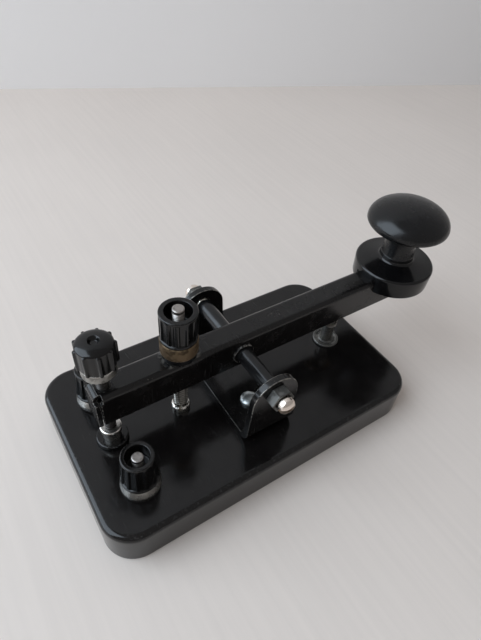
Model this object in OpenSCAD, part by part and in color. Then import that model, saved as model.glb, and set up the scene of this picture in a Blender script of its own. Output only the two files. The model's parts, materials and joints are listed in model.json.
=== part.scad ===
// Telegraph key on a moulded base. All sizes are in millimetres.
// The origin is the middle of the base's underside, +X runs along the lever to the knob and +Z is up.

/* [Base] */
// Length of the base, along the lever
base_l = 130; // [120:1:160]
// Width of the base
base_w = 75; // [68:1:100]
// Height of the base
base_h = 15.2; // [13.5:0.1:20]
// Radius of the base's corners, seen from above
base_corner_r = 11.3; // [6:0.1:14]
// Radius of the base's top edge
base_edge_r = 2; // [0.5:0.1:3]
// Thickness of the base's side walls
base_wall = 3.2; // [2:0.1:5]
// Thickness of the base's top
base_top_t = 5; // [3.5:0.1:6]

/* [Bracket] */
// Thickness of the bracket's sheet
bracket_t = 2.5; // [1.5:0.1:3]
// Distance between the outer faces of the ears
bracket_w = 52; // [46:0.5:60]
// Outer radius of the bracket's bends
bracket_bend_r = 5; // [3.5:0.1:6]
// Length of the bracket's foot, along the lever
bracket_foot = 20.4; // [19.4:0.1:26]
// Radius of the round top of each ear
ear_top_r = 9.3; // [7.5:0.1:9.6]
// Height of the ears' tops above the pivot axis
ear_over_pivot = 6.6; // [5.5:0.1:9]
// Distance from the lever's middle to each bracket screw
bracket_screw_y = 12.1; // [10:0.1:14]

/* [Pivot] */
// Height of the pivot axis above the table
pivot_z = 38; // [36:0.1:42]
// Diameter of the axle
axle_d = 6; // [5:0.1:7]
// Gap between each end of the axle and its ear
axle_end_gap = 0.7; // [0.4:0.1:1.5]
// Diameter of the two pivot screws
pivot_screw_d = 6; // [5:0.1:7]
// Distance that each pivot screw stands out of its ear
pivot_screw_out = 7.6; // [6.5:0.1:10]
// Diameter of the journals that the axle turns on
journal_d = 3; // [2:0.1:3.4]
// Length of each journal inside the axle
journal_l = 3; // [2:0.1:6]
// Width across the flats of the pivot lock nuts
pivot_nut_af = 10; // [9:0.1:12]
// Thickness of the pivot lock nuts
pivot_nut_t = 4.5; // [3:0.1:5]
// Diameter of the collars beside the lever
axle_collar_d = 8.4; // [7.6:0.1:10]
// Thickness of the collars beside the lever
axle_collar_t = 1; // [0.6:0.1:2]

/* [Lever] */
// Width of the lever
lever_w = 10; // [9.6:0.1:12]
// Height of the lever's side walls
lever_h = 13.5; // [12.5:0.1:15]
// Thickness of the lever's sheet
lever_t = 1.5; // [1:0.1:1.6]
// Outer radius of the lever's bends
lever_bend_r = 2; // [1.8:0.1:2.2]
// Height of the lever's top above the pivot axis
lever_over_pivot = 7; // [6.5:0.1:8]
// Distance from the pivot to the lever's rear end
lever_rear = 54; // [54:0.5:58]
// Distance from the pivot to the lever's front end
lever_front = 84; // [80:0.5:88]
// Gap between the bent-down rear tab and the side walls
tab_gap = 0.4; // [0.2:0.1:1]
// Size of the relief notches at the rear corners
tab_relief = 2.6; // [1.5:0.1:3]

/* [Knob] */
// Distance from the pivot to the knob's axis
knob_x = 77.6; // [72:0.1:78]
// Diameter of the knob's cap
knob_cap_d = 31.8; // [24:0.2:38]
// Height of the cap's rim above the lever's top
knob_rim_z = 21.1; // [18:0.1:26]
// Height of the dome above the cap's rim
knob_dome_h = 8.6; // [5:0.1:12]
// Depth of the cap's underside below its rim
knob_under_h = 1.7; // [1:0.1:3]
// Diameter of the neck at its narrowest
knob_neck_d = 11; // [9:0.1:14]
// Diameter of the neck's foot
knob_foot_d = 14; // [13:0.1:17]
// Diameter of the skirt at its top edge
skirt_d = 31.8; // [28:0.2:38]
// Diameter of the skirt at its lower edge
skirt_low_d = 31.2; // [27:0.2:37]
// Height of the skirt's rim above the lever's top
skirt_rise = 3.8; // [3.4:0.1:6]
// Depth that the skirt reaches below the lever's top
skirt_drop = 4.4; // [2:0.1:6]
// Depth of the dish in the skirt's top
skirt_dish = 0.9; // [0.3:0.1:1.2]
// Thickness of the skirt's outer wall
skirt_wall = 2.4; // [1.6:0.1:3.5]
// Thickness of the skirt's web
skirt_web = 2.2; // [1.6:0.1:2.4]
// Gap between the lever and the groove in the skirt
skirt_clear = 0.2; // [0.1:0.05:0.5]

/* [Contacts] */
// Distance from the pivot back to the rear contact
rear_contact_x = 49.4; // [46.5:0.1:49.5]
// Distance from the pivot forward to the front contact
front_contact_x = 48.2; // [44:0.1:52]
// Height of the rear contact above the base
rear_post_h = 7.9; // [6.5:0.1:10]
// Diameter of the rear contact's disc
rear_disc_d = 7.5; // [6:0.1:9]
// Thickness of the rear contact's disc
rear_disc_t = 2.1; // [1:0.1:3]
// Diameter of the rear contact's post
rear_post_d = 6.4; // [5:0.1:7]
// Diameter of the black ring round the rear post
post_ring_d = 11.2; // [9:0.1:13]
// Height of the black ring round the rear post
post_ring_h = 2; // [1:0.1:3]
// Height of the front contact above the base
front_post_h = 10.2; // [8:0.1:10.6]
// Diameter of the front contact's head
front_head_d = 6; // [5:0.1:6.6]
// Thickness of the front contact's head
front_head_t = 0.9; // [0.6:0.1:1.6]
// Diameter of the front contact's post
front_post_d = 4.8; // [4.4:0.1:5]
// Diameter of the front contact's foot
front_foot_d = 11; // [9:0.1:13]
// Thickness of the front contact's foot
front_foot_t = 1; // [0.8:0.1:2]
// Gap at the front contact while the key is up
contact_gap = 1.3; // [1.3:0.05:2]
// Gap left under the gap screw while the key is up
rest_gap = 0.05; // [0.02:0.01:0.2]
// Diameter of the lever's own contact
lever_contact_d = 6; // [5:0.1:6.4]
// Length of the bridge that holds the lever's contact
bridge_l = 10; // [8:0.5:14]
// Thickness of that bridge
bridge_t = 1.5; // [1:0.1:2]

/* [Gap adjuster] */
// Diameter of the gap screw
gap_screw_d = 4; // [3.5:0.1:4.2]
// Diameter of the gap cap between its ribs
gap_cap_d = 12.4; // [11:0.1:13.5]
// Height of the gap cap's dome
gap_dome_h = 6.1; // [4:0.1:6.1]
// Height of the gap cap's straight side
gap_side_h = 12.2; // [9:0.1:15]
// Number of ribs on the gap cap
gap_ribs = 10; // [6:1:14]
// Distance that the gap cap's ribs stand out
gap_rib_out = 0.7; // [0.3:0.1:1]
// Radius of the dimple on top of the dome
gap_dimple_r = 1.5; // [0.8:0.1:2]
// Diameter of the gap lock nut
gap_nut_d = 14.4; // [12:0.1:16]
// Thickness of the gap lock nut
gap_nut_t = 2.2; // [1.5:0.1:3]

/* [Spring adjuster] */
// Distance from the pivot back to the spring
spring_x = 22.6; // [20:0.1:26]
// Diameter of the spring stud
spring_stud_d = 4; // [3.5:0.1:4.4]
// Height of the spring stud's top above the lever
spring_stud_top = 21.1; // [19:0.1:24]
// Diameter of the spring nut over its ribs
spring_nut_d = 12.6; // [11:0.1:15]
// Height of the spring nut
spring_nut_h = 15.3; // [12:0.1:17]
// Diameter of the hollow in the spring nut
spring_hollow_d = 9; // [7:0.1:9.4]
// Depth of the hollow in the spring nut
spring_hollow_h = 7; // [4:0.1:7.5]
// Number of ribs on the spring nut
spring_ribs = 12; // [8:1:14]
// Diameter of the brass collar under the spring nut
spring_collar_d = 12; // [10:0.1:14]
// Height of that brass collar
spring_collar_h = 4; // [2.5:0.1:5]
// Outer diameter of the return spring
spring_d = 5.5; // [5:0.1:6]
// Diameter of the spring's wire
spring_wire = 0.8; // [0.6:0.05:0.9]
// Height that the spring reaches into the lever
spring_into_lever = 5.5; // [3:0.1:7]
// Diameter of the anchor screw's head
anchor_head_d = 7; // [6:0.1:8.5]
// Height of the anchor screw's head
anchor_head_h = 2.8; // [2:0.1:4]

/* [Terminals] */
// Distance from the pivot back to the terminals
terminal_x = 48; // [44:0.1:52]
// Distance from the lever's middle to each terminal
terminal_y = 20; // [18:0.1:24]
// Diameter of every stud and screw that goes through the base
stud_d = 4; // [3.5:0.1:4.4]
// Height of the terminal studs above the base
terminal_stud_h = 15.7; // [14:0.1:20]
// Width across the flats of the terminal seat nuts
seat_nut_af = 12; // [10.5:0.1:14]
// Thickness of the terminal seat nuts
seat_nut_t = 2.3; // [1.5:0.1:3]
// Diameter of the terminal caps over their ribs
terminal_cap_d = 10.9; // [10:0.1:13]
// Height of the terminal caps
terminal_cap_h = 14.4; // [12:0.1:16]
// Diameter of the hollow in the terminal caps
terminal_hollow_d = 7.9; // [6:0.1:8]
// Depth of the hollow in the terminal caps
terminal_hollow_h = 6; // [3:0.1:6.5]
// Number of ribs on each terminal cap
terminal_ribs = 12; // [8:1:14]

/* [Ribbed caps] */
// Width of one rib on the nuts and caps
rib_w = 1.1; // [0.7:0.1:1.4]
// Distance that the ribs of the hollow nuts stand out
rib_out = 0.55; // [0.3:0.05:0.8]
// Height of the smooth ring at the top of the hollow nuts
rim_h = 1.3; // [0.8:0.1:2]
// Outer radius of the metal bushes inside the hollow nuts
bush_r = 3.1; // [2.9:0.05:3.3]
// Length of those bushes
bush_l = 6.6; // [4:0.1:7.2]

/* [Fasteners and straps] */
// Diameter of the bracket screws' heads
pan_head_d = 6.8; // [6:0.1:8]
// Height of the bracket screws' heads
pan_head_h = 2.4; // [1.8:0.1:3]
// Width across the flats of the nuts under the base
under_nut_af = 7; // [6.4:0.1:8]
// Thickness of the nuts under the base
under_nut_t = 3; // [2:0.1:3.4]
// Length of thread that shows past each nut under the base
thread_past = 0.8; // [0:0.1:1.2]
// Width of the brass straps under the base
strap_w = 7; // [6.4:0.1:8]
// Thickness of the brass straps
strap_t = 0.8; // [0.5:0.1:1.2]
// Width of the screwdriver slots
slot_w = 1.2; // [0.8:0.1:1.5]
// Depth of the screwdriver slots
slot_h = 1.6; // [1:0.1:2]
// Diameter of the knob screw
knob_screw_d = 4; // [3.5:0.1:4.4]
// Length of the knob screw inside the knob and skirt
knob_screw_l = 13; // [10:0.1:16]

/* [Clearances] */
// Gap round what is fixed in a hole
fit_clear = 0.05; // [0.02:0.01:0.1]
// Gap round what turns or slides in a hole
run_clear = 0.05; // [0.02:0.01:0.09]
// Gap between faces that turn on each other
face_clear = 0.1; // [0.05:0.01:0.3]
// Gap between the spring and what it is wound over
spring_clear = 0.14; // [0.1:0.01:0.2]

/* [Hidden] */
$fn = 64;

// Extra length that makes a cut pass through a face
cut = 1;
// Small bevels, on turned edges, on the ends of threads and round the corners of nuts
turned_edge = 0.3;
thread_edge = 0.4;
nut_edge_share = 0.6;
// How far the spring's turns stand apart, as a share of the wire
spring_open = 1.06;
// Lengths of the necks that the spring grips, on its anchor and on its stud
anchor_neck_l = 3.5;
stud_neck_l = 5;
// Flange of the metal bushes inside the hollow nuts
bush_flange_t = 0.8;
bush_flange_out = 1;
// Wall of the gap screw's bush and how far it hangs under the lever's top plate
gap_bush_wall = 0.5;
gap_bush_l = 4;
// Distance of the bridge above the lower edge of the lever, and its rivet
bridge_up = 0.2;
rivet_r = 1.5;
rivet_head_r = 2;
rivet_head_t = 0.8;
// Depth of the knob's seat below the floor of the skirt's dish
knob_seat_h = 0.3;
knob_washer_t = 0.8;
knob_screw_spare = 0.5;
// How much smaller the knob screw's head is than the washer over it
edge_in = 0.15;
ceiling_z = base_h - base_top_t;
lever_top = pivot_z + lever_over_pivot;
lever_low = lever_top - lever_h;
lever_under = lever_top - lever_t;
lever_in_w = lever_w - 2 * lever_t;
ear_y = bracket_w / 2;
ear_in_y = ear_y - bracket_t;
ear_top_z = pivot_z + ear_over_pivot;
floor_z = base_h + bracket_t;
axle_half = ear_in_y - axle_end_gap;
stud_r = stud_d / 2;
spring_r = (spring_d - spring_wire) / 2;
spring_plug_r = spring_r - spring_wire / 2 - spring_clear;
spring_low = base_h + anchor_head_h + spring_wire / 2 + face_clear;
spring_high = lever_low + spring_into_lever;
spring_pitch = spring_wire * spring_open;
// The washer in the channel fits between the inner bends
knob_washer_r = lever_in_w / 2 - max(lever_bend_r - lever_t, 0) - fit_clear;
terminal_cap_z = base_h + seat_nut_t + face_clear;
spring_nut_z = lever_top + spring_collar_h + face_clear;
gap_cap_z = lever_top + gap_nut_t + 3 * face_clear;
gap_tip_z = base_h + rear_post_h + rest_gap;
front_top_z = base_h + front_post_h;
strap_z = ceiling_z - strap_t;
skirt_seat = lever_top + skirt_rise - skirt_dish - knob_seat_h;
bridge_low = lever_low + bridge_up;
gap_bush_r = gap_screw_d / 2 + gap_bush_wall;
terminal_points = [for (s = [-1, 1]) [-terminal_x, s * terminal_y]];
bracket_points = [for (s = [-1, 1]) [0, s * bracket_screw_y]];
rear_point = [-rear_contact_x, 0];
front_point = [front_contact_x, 0];
spring_point = [-spring_x, 0];
base_points = concat(terminal_points, bracket_points, [rear_point, front_point, spring_point]);
// Which of those points has a strap between its nut and the base
strapped = [true, true, false, true, false, true, false];
black = [0.07, 0.07, 0.08];
paint = [0.13, 0.13, 0.14];
nickel = [0.72, 0.7, 0.66];
steel = [0.62, 0.63, 0.65];
brass = [0.72, 0.56, 0.3];

// Angle at which a circle round the origin is touched by the straight line from the point (x, dz)
function tangent_angle(x, dz, r) = atan2(dz, x) + acos(r / norm([x, dz]));

// Points of an arc in a flat section
function arc(cx, cy, rx, ry, from, to, steps) =
    [for (i = [0:steps]) let (a = from + (to - from) * i / steps) [cx + rx * cos(a), cy + ry * sin(a)]];

// Upright disc between two heights, with an optional hole
module disc(outer, inner, low, high) {
    difference() {
        translate([0, 0, low]) cylinder(r = outer, h = high - low);
        if (inner > 0)
            translate([0, 0, low - cut]) cylinder(r = inner, h = high - low + 2 * cut);
    }
}

// Upright disc whose upper and lower edges may be chamfered
module turned(r, low, high, low_edge, high_edge) {
    rotate_extrude()
        polygon([[0, low], [r - low_edge, low], [r, low + low_edge], [r, high - high_edge],
            [r - high_edge, high], [0, high]]);
}

// Hexagonal nut with chamfered corners
module hex_nut(flats, hole, low, high) {
    corner = flats / 2 / cos(30);
    edge = (corner - flats / 2) * nut_edge_share;
    difference() {
        intersection() {
            translate([0, 0, low]) cylinder(r = corner, h = high - low, $fn = 6);
            turned(corner, low, high, edge, edge);
        }
        translate([0, 0, low - cut]) cylinder(r = hole, h = high - low + 2 * cut);
    }
}

// Screwdriver slot across the top of a head
module slot_cut(r, top, angle) {
    rotate(angle) translate([-r - cut, -slot_w / 2, top - slot_h])
        cube([2 * (r + cut), slot_w, slot_h + cut]);
}

// Rectangle with round corners, seen from above
module round_rect(l, w, r) {
    square([l - 2 * r, w], center = true);
    square([l, w - 2 * r], center = true);
    for (sx = [-1, 1], sy = [-1, 1])
        translate([sx * (l / 2 - r), sy * (w / 2 - r)]) circle(r = r);
}

// Upright section with two round top corners
module arch(w, r, low, high) {
    translate([-w / 2, low]) square([w, high - low - r]);
    translate([-w / 2 + r, low]) square([w - 2 * r, high - low]);
    for (s = [-1, 1]) translate([s * (w / 2 - r), high - r]) circle(r = r);
}

// Upright section with two round lower corners
module trough(w, r, low, high) {
    translate([-w / 2, low + r]) square([w, high - low - r]);
    translate([-w / 2 + r, low]) square([w - 2 * r, high - low]);
    for (s = [-1, 1]) translate([s * (w / 2 - r), low + r]) circle(r = r);
}

// A section drawn across Y and Z, extruded along X
module along_x(from, to) {
    translate([from, 0, 0]) rotate([90, 0, 90]) linear_extrude(height = to - from) children();
}

// A section drawn across X and Z, extruded along Y about the middle
module along_y(width) {
    rotate([90, 0, 0]) linear_extrude(height = width, center = true) children();
}

// Turns an upright piece so that it points out through the near or far ear, on the pivot axis
module at_pivot(side) {
    translate([0, 0, pivot_z]) rotate([-90 * side, 0, 0]) children();
}

module at(point) {
    translate([point[0], point[1], 0]) children();
}

// The moulded base is a round-edged block, hollow underneath
module base() {
    color(black) difference() {
        union() {
            along_x(-base_l / 2 + base_corner_r, base_l / 2 - base_corner_r)
                arch(base_w, base_edge_r, 0, base_h);
            along_y(base_w - 2 * base_corner_r) arch(base_l, base_edge_r, 0, base_h);
            for (sx = [-1, 1], sy = [-1, 1])
                translate([sx * (base_l / 2 - base_corner_r), sy * (base_w / 2 - base_corner_r), 0])
                    rotate_extrude() intersection() {
                        arch(2 * base_corner_r, base_edge_r, 0, base_h);
                        square([base_corner_r + cut, base_h + cut]);
                    }
        }
        translate([0, 0, -cut]) linear_extrude(height = ceiling_z + cut)
            round_rect(base_l - 2 * base_wall, base_w - 2 * base_wall, base_corner_r - base_wall);
        for (p = base_points)
            at(p) translate([0, 0, ceiling_z - cut])
                cylinder(r = stud_r + fit_clear, h = base_top_t + 2 * cut);
    }
}

// Outline of the ears, seen along the pivot axis: straight flanks run up into the round top
module ear_outline() {
    top_centre = ear_top_z - ear_top_r;
    flank_above_bend = 0.6;
    flank_z = base_h + bracket_bend_r + flank_above_bend;
    // The flanks meet the round top a hair inside it, so that they cross it cleanly
    hair = 0.03;
    meet_r = ear_top_r - hair;
    a = tangent_angle(bracket_foot / 2, flank_z - top_centre, ear_top_r);
    meet = [meet_r * cos(a), top_centre + meet_r * sin(a)];
    translate([0, top_centre]) circle(r = ear_top_r);
    polygon([[-bracket_foot / 2, base_h - cut], [bracket_foot / 2, base_h - cut],
        [bracket_foot / 2, flank_z], meet, [-meet[0], meet[1]], [-bracket_foot / 2, flank_z]]);
}

// The fulcrum bracket is one sheet bent into a U
module fulcrum_bracket() {
    color(paint) difference() {
        intersection() {
            along_x(-bracket_foot, bracket_foot) difference() {
                trough(bracket_w, bracket_bend_r, base_h, ear_top_z + cut);
                trough(bracket_w - 2 * bracket_t, bracket_bend_r - bracket_t, floor_z, ear_top_z + 2 * cut);
            }
            along_y(bracket_w + 2 * cut) ear_outline();
        }
        for (s = [-1, 1])
            at_pivot(s) translate([0, 0, ear_in_y - cut])
                cylinder(r = pivot_screw_d / 2 + fit_clear, h = bracket_t + 2 * cut);
        for (p = bracket_points)
            at(p) translate([0, 0, base_h - cut])
                cylinder(r = stud_r + fit_clear, h = bracket_t + 2 * cut);
    }
}

// Height of the lower end of a screw that has its nut under the base
function screw_end(strap) = ceiling_z - (strap ? strap_t : 0) - under_nut_t - thread_past;

// Each head is a low dome above a short upright rim
module bracket_screws() {
    rim = pan_head_h * 0.35;
    color(steel) for (i = [0, 1])
        at(bracket_points[i]) {
            disc(stud_r, 0, screw_end(strapped[i + 2]), floor_z + rim / 2);
            rotate_extrude()
                polygon(concat([[0, floor_z], [pan_head_d / 2, floor_z]],
                    arc(0, floor_z + rim, pan_head_d / 2, pan_head_h - rim, 0, 90, 8)));
        }
}

// A pivot screw ends in a journal inside the axle and in a slotted, chamfered tip outside
module pivot_screw(side, slot_angle) {
    r = pivot_screw_d / 2;
    inner_end = axle_half + axle_end_gap / 2;
    outer_end = ear_y + pivot_screw_out;
    tip_round = 1.2;
    tip_h = 1.5;
    color(nickel) at_pivot(side) {
        disc(journal_d / 2, 0, axle_half - journal_l + face_clear, inner_end + cut);
        difference() {
            rotate_extrude()
                polygon(concat([[0, inner_end], [r - thread_edge, inner_end], [r, inner_end + thread_edge]],
                    arc(r - tip_round, outer_end - tip_h, tip_round, tip_h, 0, 90, 6), [[0, outer_end]]));
            slot_cut(r, outer_end, slot_angle);
        }
    }
}

module pivot_screw_near() {
    pivot_screw(-1, 20);
}

module pivot_screw_far() {
    pivot_screw(1, 65);
}

module pivot_lock_nut(side, angle) {
    color(steel) at_pivot(side) rotate(angle)
        hex_nut(pivot_nut_af, pivot_screw_d / 2 + fit_clear, ear_y, ear_y + pivot_nut_t);
}

module pivot_lock_nut_near() {
    pivot_lock_nut(-1, 12);
}

module pivot_lock_nut_far() {
    pivot_lock_nut(1, 40);
}

module rear_contact_post() {
    top = base_h + rear_post_h;
    color(nickel) at(rear_point) {
        disc(stud_r, 0, screw_end(false), base_h + post_ring_h);
        turned(rear_post_d / 2, base_h, top - rear_disc_t, 0, 0);
        turned(rear_disc_d / 2, top - rear_disc_t, top, turned_edge, turned_edge);
    }
}

module rear_post_ring() {
    color(black) at(rear_point) difference() {
        turned(post_ring_d / 2, base_h, base_h + post_ring_h, 0, turned_edge);
        translate([0, 0, base_h - cut]) cylinder(r = rear_post_d / 2 + fit_clear, h = post_ring_h + 2 * cut);
    }
}

module front_contact_post() {
    color(nickel) at(front_point) {
        disc(stud_r, 0, screw_end(true), base_h + front_foot_t + cut);
        turned(front_post_d / 2, base_h + front_foot_t, front_top_z - front_head_t, 0, 0);
        turned(front_head_d / 2, front_top_z - front_head_t, front_top_z, 0, turned_edge / 2);
    }
}

// The foot is a turned cup washer with a raised rim
module front_post_foot() {
    r = front_foot_d / 2;
    top = base_h + front_foot_t;
    rim = 0.9;
    edge = 0.2;
    dish = front_foot_t * 0.35;
    color(nickel) at(front_point) rotate_extrude()
        polygon([[stud_r + fit_clear, base_h], [r, base_h], [r, top - edge], [r - edge, top], [r - rim, top],
            [r - rim - dish, top - dish], [front_post_d / 2 + 2 * dish, top - dish],
            [front_post_d / 2 + dish, top], [stud_r + fit_clear, top]]);
}

// Slotted screw whose neck carries the lowest turns of the spring
module spring_anchor() {
    head_top = base_h + anchor_head_h;
    slot_angle = 63;
    color(steel) at(spring_point) {
        disc(stud_r, 0, screw_end(false), base_h + cut);
        difference() {
            turned(anchor_head_d / 2, base_h, head_top, 0, turned_edge);
            difference() {
                slot_cut(anchor_head_d / 2, head_top, slot_angle);
                cylinder(r = spring_plug_r, h = head_top + 2 * cut);
            }
        }
        turned(spring_plug_r, head_top - cut, head_top + anchor_neck_l, 0, thread_edge);
    }
}

module terminal_studs() {
    color(steel) for (p = terminal_points)
        at(p) turned(stud_r, screw_end(true), base_h + terminal_stud_h, thread_edge, thread_edge);
}

module terminal_seat_nuts() {
    angle = 15;
    color(nickel) for (p = terminal_points)
        at(p) rotate(angle) hex_nut(seat_nut_af, stud_r + fit_clear, base_h, base_h + seat_nut_t);
}

// Metal bush that clamps the wire, with a flange under its cap
module flanged_bush(low, length, hole) {
    disc(bush_r, hole, low, low + length);
    disc(bush_r + bush_flange_out, hole, low, low + bush_flange_t);
}

module terminal_bush(point) {
    color(brass) at(point) flanged_bush(terminal_cap_z, bush_l, stud_r + run_clear);
}

module terminal_bush_near() {
    terminal_bush(terminal_points[0]);
}

module terminal_bush_far() {
    terminal_bush(terminal_points[1]);
}

// Hollow moulded nut with ribs between a smooth top ring and a lower rim; a bush sits in its underside
module hollow_nut(d, low, height, hollow_d, hollow_h, ribs, gap) {
    r = d / 2;
    top = low + height;
    top_edge = 0.5;
    low_edge = 0.2;
    // The lower rim stands a little further out than the ribs, and the stud has room in its hole
    low_out = 0.1;
    room = 0.1;
    difference() {
        union() {
            translate([0, 0, low]) linear_extrude(height = height - rim_h / 2) {
                circle(r = r - rib_out);
                intersection() {
                    circle(r = r);
                    for (i = [0:ribs - 1])
                        rotate(360 / ribs * i) translate([0, -rib_w / 2]) square([r + cut, rib_w]);
                }
            }
            turned(r, top - rim_h, top, rib_out, top_edge);
            turned(r + low_out, low, low + rim_h, low_edge, rib_out);
        }
        translate([0, 0, top - hollow_h]) cylinder(r = hollow_d / 2, h = hollow_h + cut);
        translate([0, 0, low - cut]) cylinder(r = stud_r + 2 * gap + room, h = height);
        translate([0, 0, low - cut]) cylinder(r = bush_r + gap, h = bush_l + gap + cut);
        translate([0, 0, low - cut])
            cylinder(r = bush_r + bush_flange_out + gap, h = bush_flange_t + gap + cut);
    }
}

module terminal_cap(point) {
    color(black) at(point)
        hollow_nut(terminal_cap_d, terminal_cap_z, terminal_cap_h, terminal_hollow_d, terminal_hollow_h,
            terminal_ribs, run_clear);
}

module terminal_cap_near() {
    terminal_cap(terminal_points[0]);
}

module terminal_cap_far() {
    terminal_cap(terminal_points[1]);
}

// No two of the nuts under the base have stopped at the same angle
module underside_nuts() {
    angle_step = 20;
    color(brass) for (i = [0:len(base_points) - 1]) {
        top = strapped[i] ? strap_z : ceiling_z;
        at(base_points[i]) rotate(angle_step * i)
            hex_nut(under_nut_af, stud_r + fit_clear, top - under_nut_t, top);
    }
}

// Flat strap with round ends that follows a list of points
module strap(points) {
    color(brass) difference() {
        translate([0, 0, strap_z]) linear_extrude(height = strap_t) {
            for (p = points) translate(p) circle(r = strap_w / 2);
            for (i = [0:len(points) - 2]) {
                run = points[i + 1] - points[i];
                translate(points[i]) rotate(atan2(run[1], run[0])) translate([0, -strap_w / 2])
                    square([norm(run), strap_w]);
            }
        }
        for (p = [points[0], points[len(points) - 1]])
            at(p) translate([0, 0, strap_z - cut])
                cylinder(r = stud_r + fit_clear, h = strap_t + 2 * cut);
    }
}

module strap_front() {
    strap([terminal_points[0], [front_contact_x - terminal_y, -terminal_y], front_point]);
}

module strap_bracket() {
    strap([terminal_points[1], bracket_points[1]]);
}

// The lever is an inverted channel with a tab bent down over its rear end
module lever() {
    wall_start = -lever_rear + lever_t + tab_gap;
    tab_reach = 4;
    fold = 40;
    color(paint) difference() {
        union() {
            along_x(wall_start, lever_front) difference() {
                arch(lever_w, lever_bend_r, lever_low, lever_top);
                arch(lever_in_w, lever_bend_r - lever_t, lever_low - cut, lever_under);
            }
            intersection() {
                along_x(-lever_rear, -lever_rear + tab_reach)
                    arch(lever_w, lever_bend_r, lever_low, lever_top);
                translate([fold / 2 - lever_rear, 0, 0]) along_y(lever_w + cut) difference() {
                    arch(fold, lever_bend_r, lever_low, lever_top);
                    arch(fold - 2 * lever_t, lever_bend_r - lever_t, lever_low - cut, lever_under);
                }
            }
        }
        for (s = [-1, 1])
            translate([-lever_rear - cut, s > 0 ? lever_w / 2 - lever_bend_r : -lever_w / 2 - cut,
                lever_top - tab_relief])
                cube([tab_relief + cut, lever_bend_r + cut, tab_relief + cut]);
        at(rear_point) translate([0, 0, lever_under - cut])
            cylinder(r = gap_bush_r + fit_clear, h = lever_t + 2 * cut);
        at(spring_point) translate([0, 0, lever_under - cut])
            cylinder(r = spring_stud_d / 2 + run_clear, h = lever_t + 2 * cut);
        translate([knob_x, 0, lever_under - cut])
            cylinder(r = knob_screw_d / 2 + fit_clear, h = lever_t + 2 * cut);
        at_pivot(1) translate([0, 0, -lever_w]) cylinder(r = axle_d / 2 + fit_clear, h = 2 * lever_w);
    }
}

module axle() {
    color(paint) difference() {
        at_pivot(1) turned(axle_d / 2, -axle_half, axle_half, turned_edge, turned_edge);
        for (s = [-1, 1])
            at_pivot(s) translate([0, 0, axle_half - journal_l])
                cylinder(r = journal_d / 2 + run_clear, h = journal_l + cut);
    }
}

module axle_collars() {
    color(paint) for (s = [-1, 1])
        at_pivot(s) difference() {
            turned(axle_collar_d / 2, lever_w / 2, lever_w / 2 + axle_collar_t, 0, turned_edge);
            translate([0, 0, lever_w / 2 - cut])
                cylinder(r = axle_d / 2 + fit_clear, h = axle_collar_t + 2 * cut);
        }
}

// Strip between the lever's walls, over the front contact
module contact_bridge() {
    color(brass) difference() {
        translate([front_contact_x - bridge_l / 2, -lever_in_w / 2 + fit_clear, bridge_low])
            cube([bridge_l, lever_in_w - 2 * fit_clear, bridge_t]);
        at(front_point) translate([0, 0, bridge_low - cut])
            cylinder(r = rivet_r + fit_clear, h = bridge_t + 2 * cut);
    }
}

// The lever's contact is riveted through its bridge
module lever_contact() {
    bridge_top = bridge_low + bridge_t;
    color(nickel) at(front_point) {
        turned(lever_contact_d / 2, front_top_z + contact_gap, bridge_low, turned_edge, 0);
        turned(rivet_r, bridge_low - cut, bridge_top, 0, 0);
        turned(rivet_head_r, bridge_top, bridge_top + rivet_head_t, 0, turned_edge);
    }
}

// Turned knob: an oval dome over a thin underside that flares down to a narrow neck
module knob() {
    // Where the neck is narrowest, how far the flare reaches out and how wide the rounded lip is
    waist_share = 0.42;
    flare_share = 0.56;
    lip_share = 0.2;
    dome_start = 6;
    r = knob_cap_d / 2;
    rim = lever_top + knob_rim_z;
    foot = knob_foot_d / 2;
    neck = knob_neck_d / 2;
    under = rim - knob_under_h;
    waist = skirt_seat + (under - skirt_seat) * waist_share;
    flare_r = r * flare_share;
    lip = r * lip_share;
    color(black) translate([knob_x, 0, 0]) difference() {
        rotate_extrude()
            polygon(concat([[0, skirt_seat]],
                arc(foot, waist, neck - foot, skirt_seat - waist, 90, 0, 10),
                arc(flare_r, waist, neck - flare_r, under - waist, 0, 90, 12),
                arc(r - lip, rim, lip, -knob_under_h, 90, 0, 8),
                arc(0, rim, r, knob_dome_h, dome_start, 90, 24)));
        translate([0, 0, skirt_seat - cut]) cylinder(r = knob_screw_d / 2 + fit_clear, h = knob_screw_l + cut);
    }
}

// Dished disc with a hollow underside; a groove across it keeps it straight on the lever
module knob_skirt() {
    r = skirt_d / 2;
    low_r = skirt_low_d / 2;
    crest = lever_top + skirt_rise;
    low = lever_top - skirt_drop;
    hub_r = knob_foot_d / 2;
    seat_gap = 0.4;
    seat_r = hub_r + seat_gap;
    edge = 1.2;
    low_edge = 0.4;
    dish_z = crest - skirt_dish;
    web_low = skirt_seat - skirt_web;
    color(black) translate([knob_x, 0, 0]) difference() {
        rotate_extrude()
            polygon(concat([[knob_screw_d / 2 + fit_clear, lever_top], [hub_r, lever_top], [hub_r, web_low],
                [low_r - skirt_wall, web_low], [low_r - skirt_wall, low], [low_r - low_edge, low],
                [low_r, low + low_edge]],
                arc(r - edge, crest - edge, edge, edge, 0, 90, 6),
                [[r - 2 * edge, crest], [(r + seat_r) / 2, dish_z], [seat_r, dish_z], [seat_r, skirt_seat],
                [knob_screw_d / 2 + fit_clear, skirt_seat]]));
        translate([-r - cut, -lever_w / 2 - skirt_clear, low - cut])
            cube([2 * (r + cut), lever_w + 2 * skirt_clear, lever_top - low + cut]);
    }
}

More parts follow.
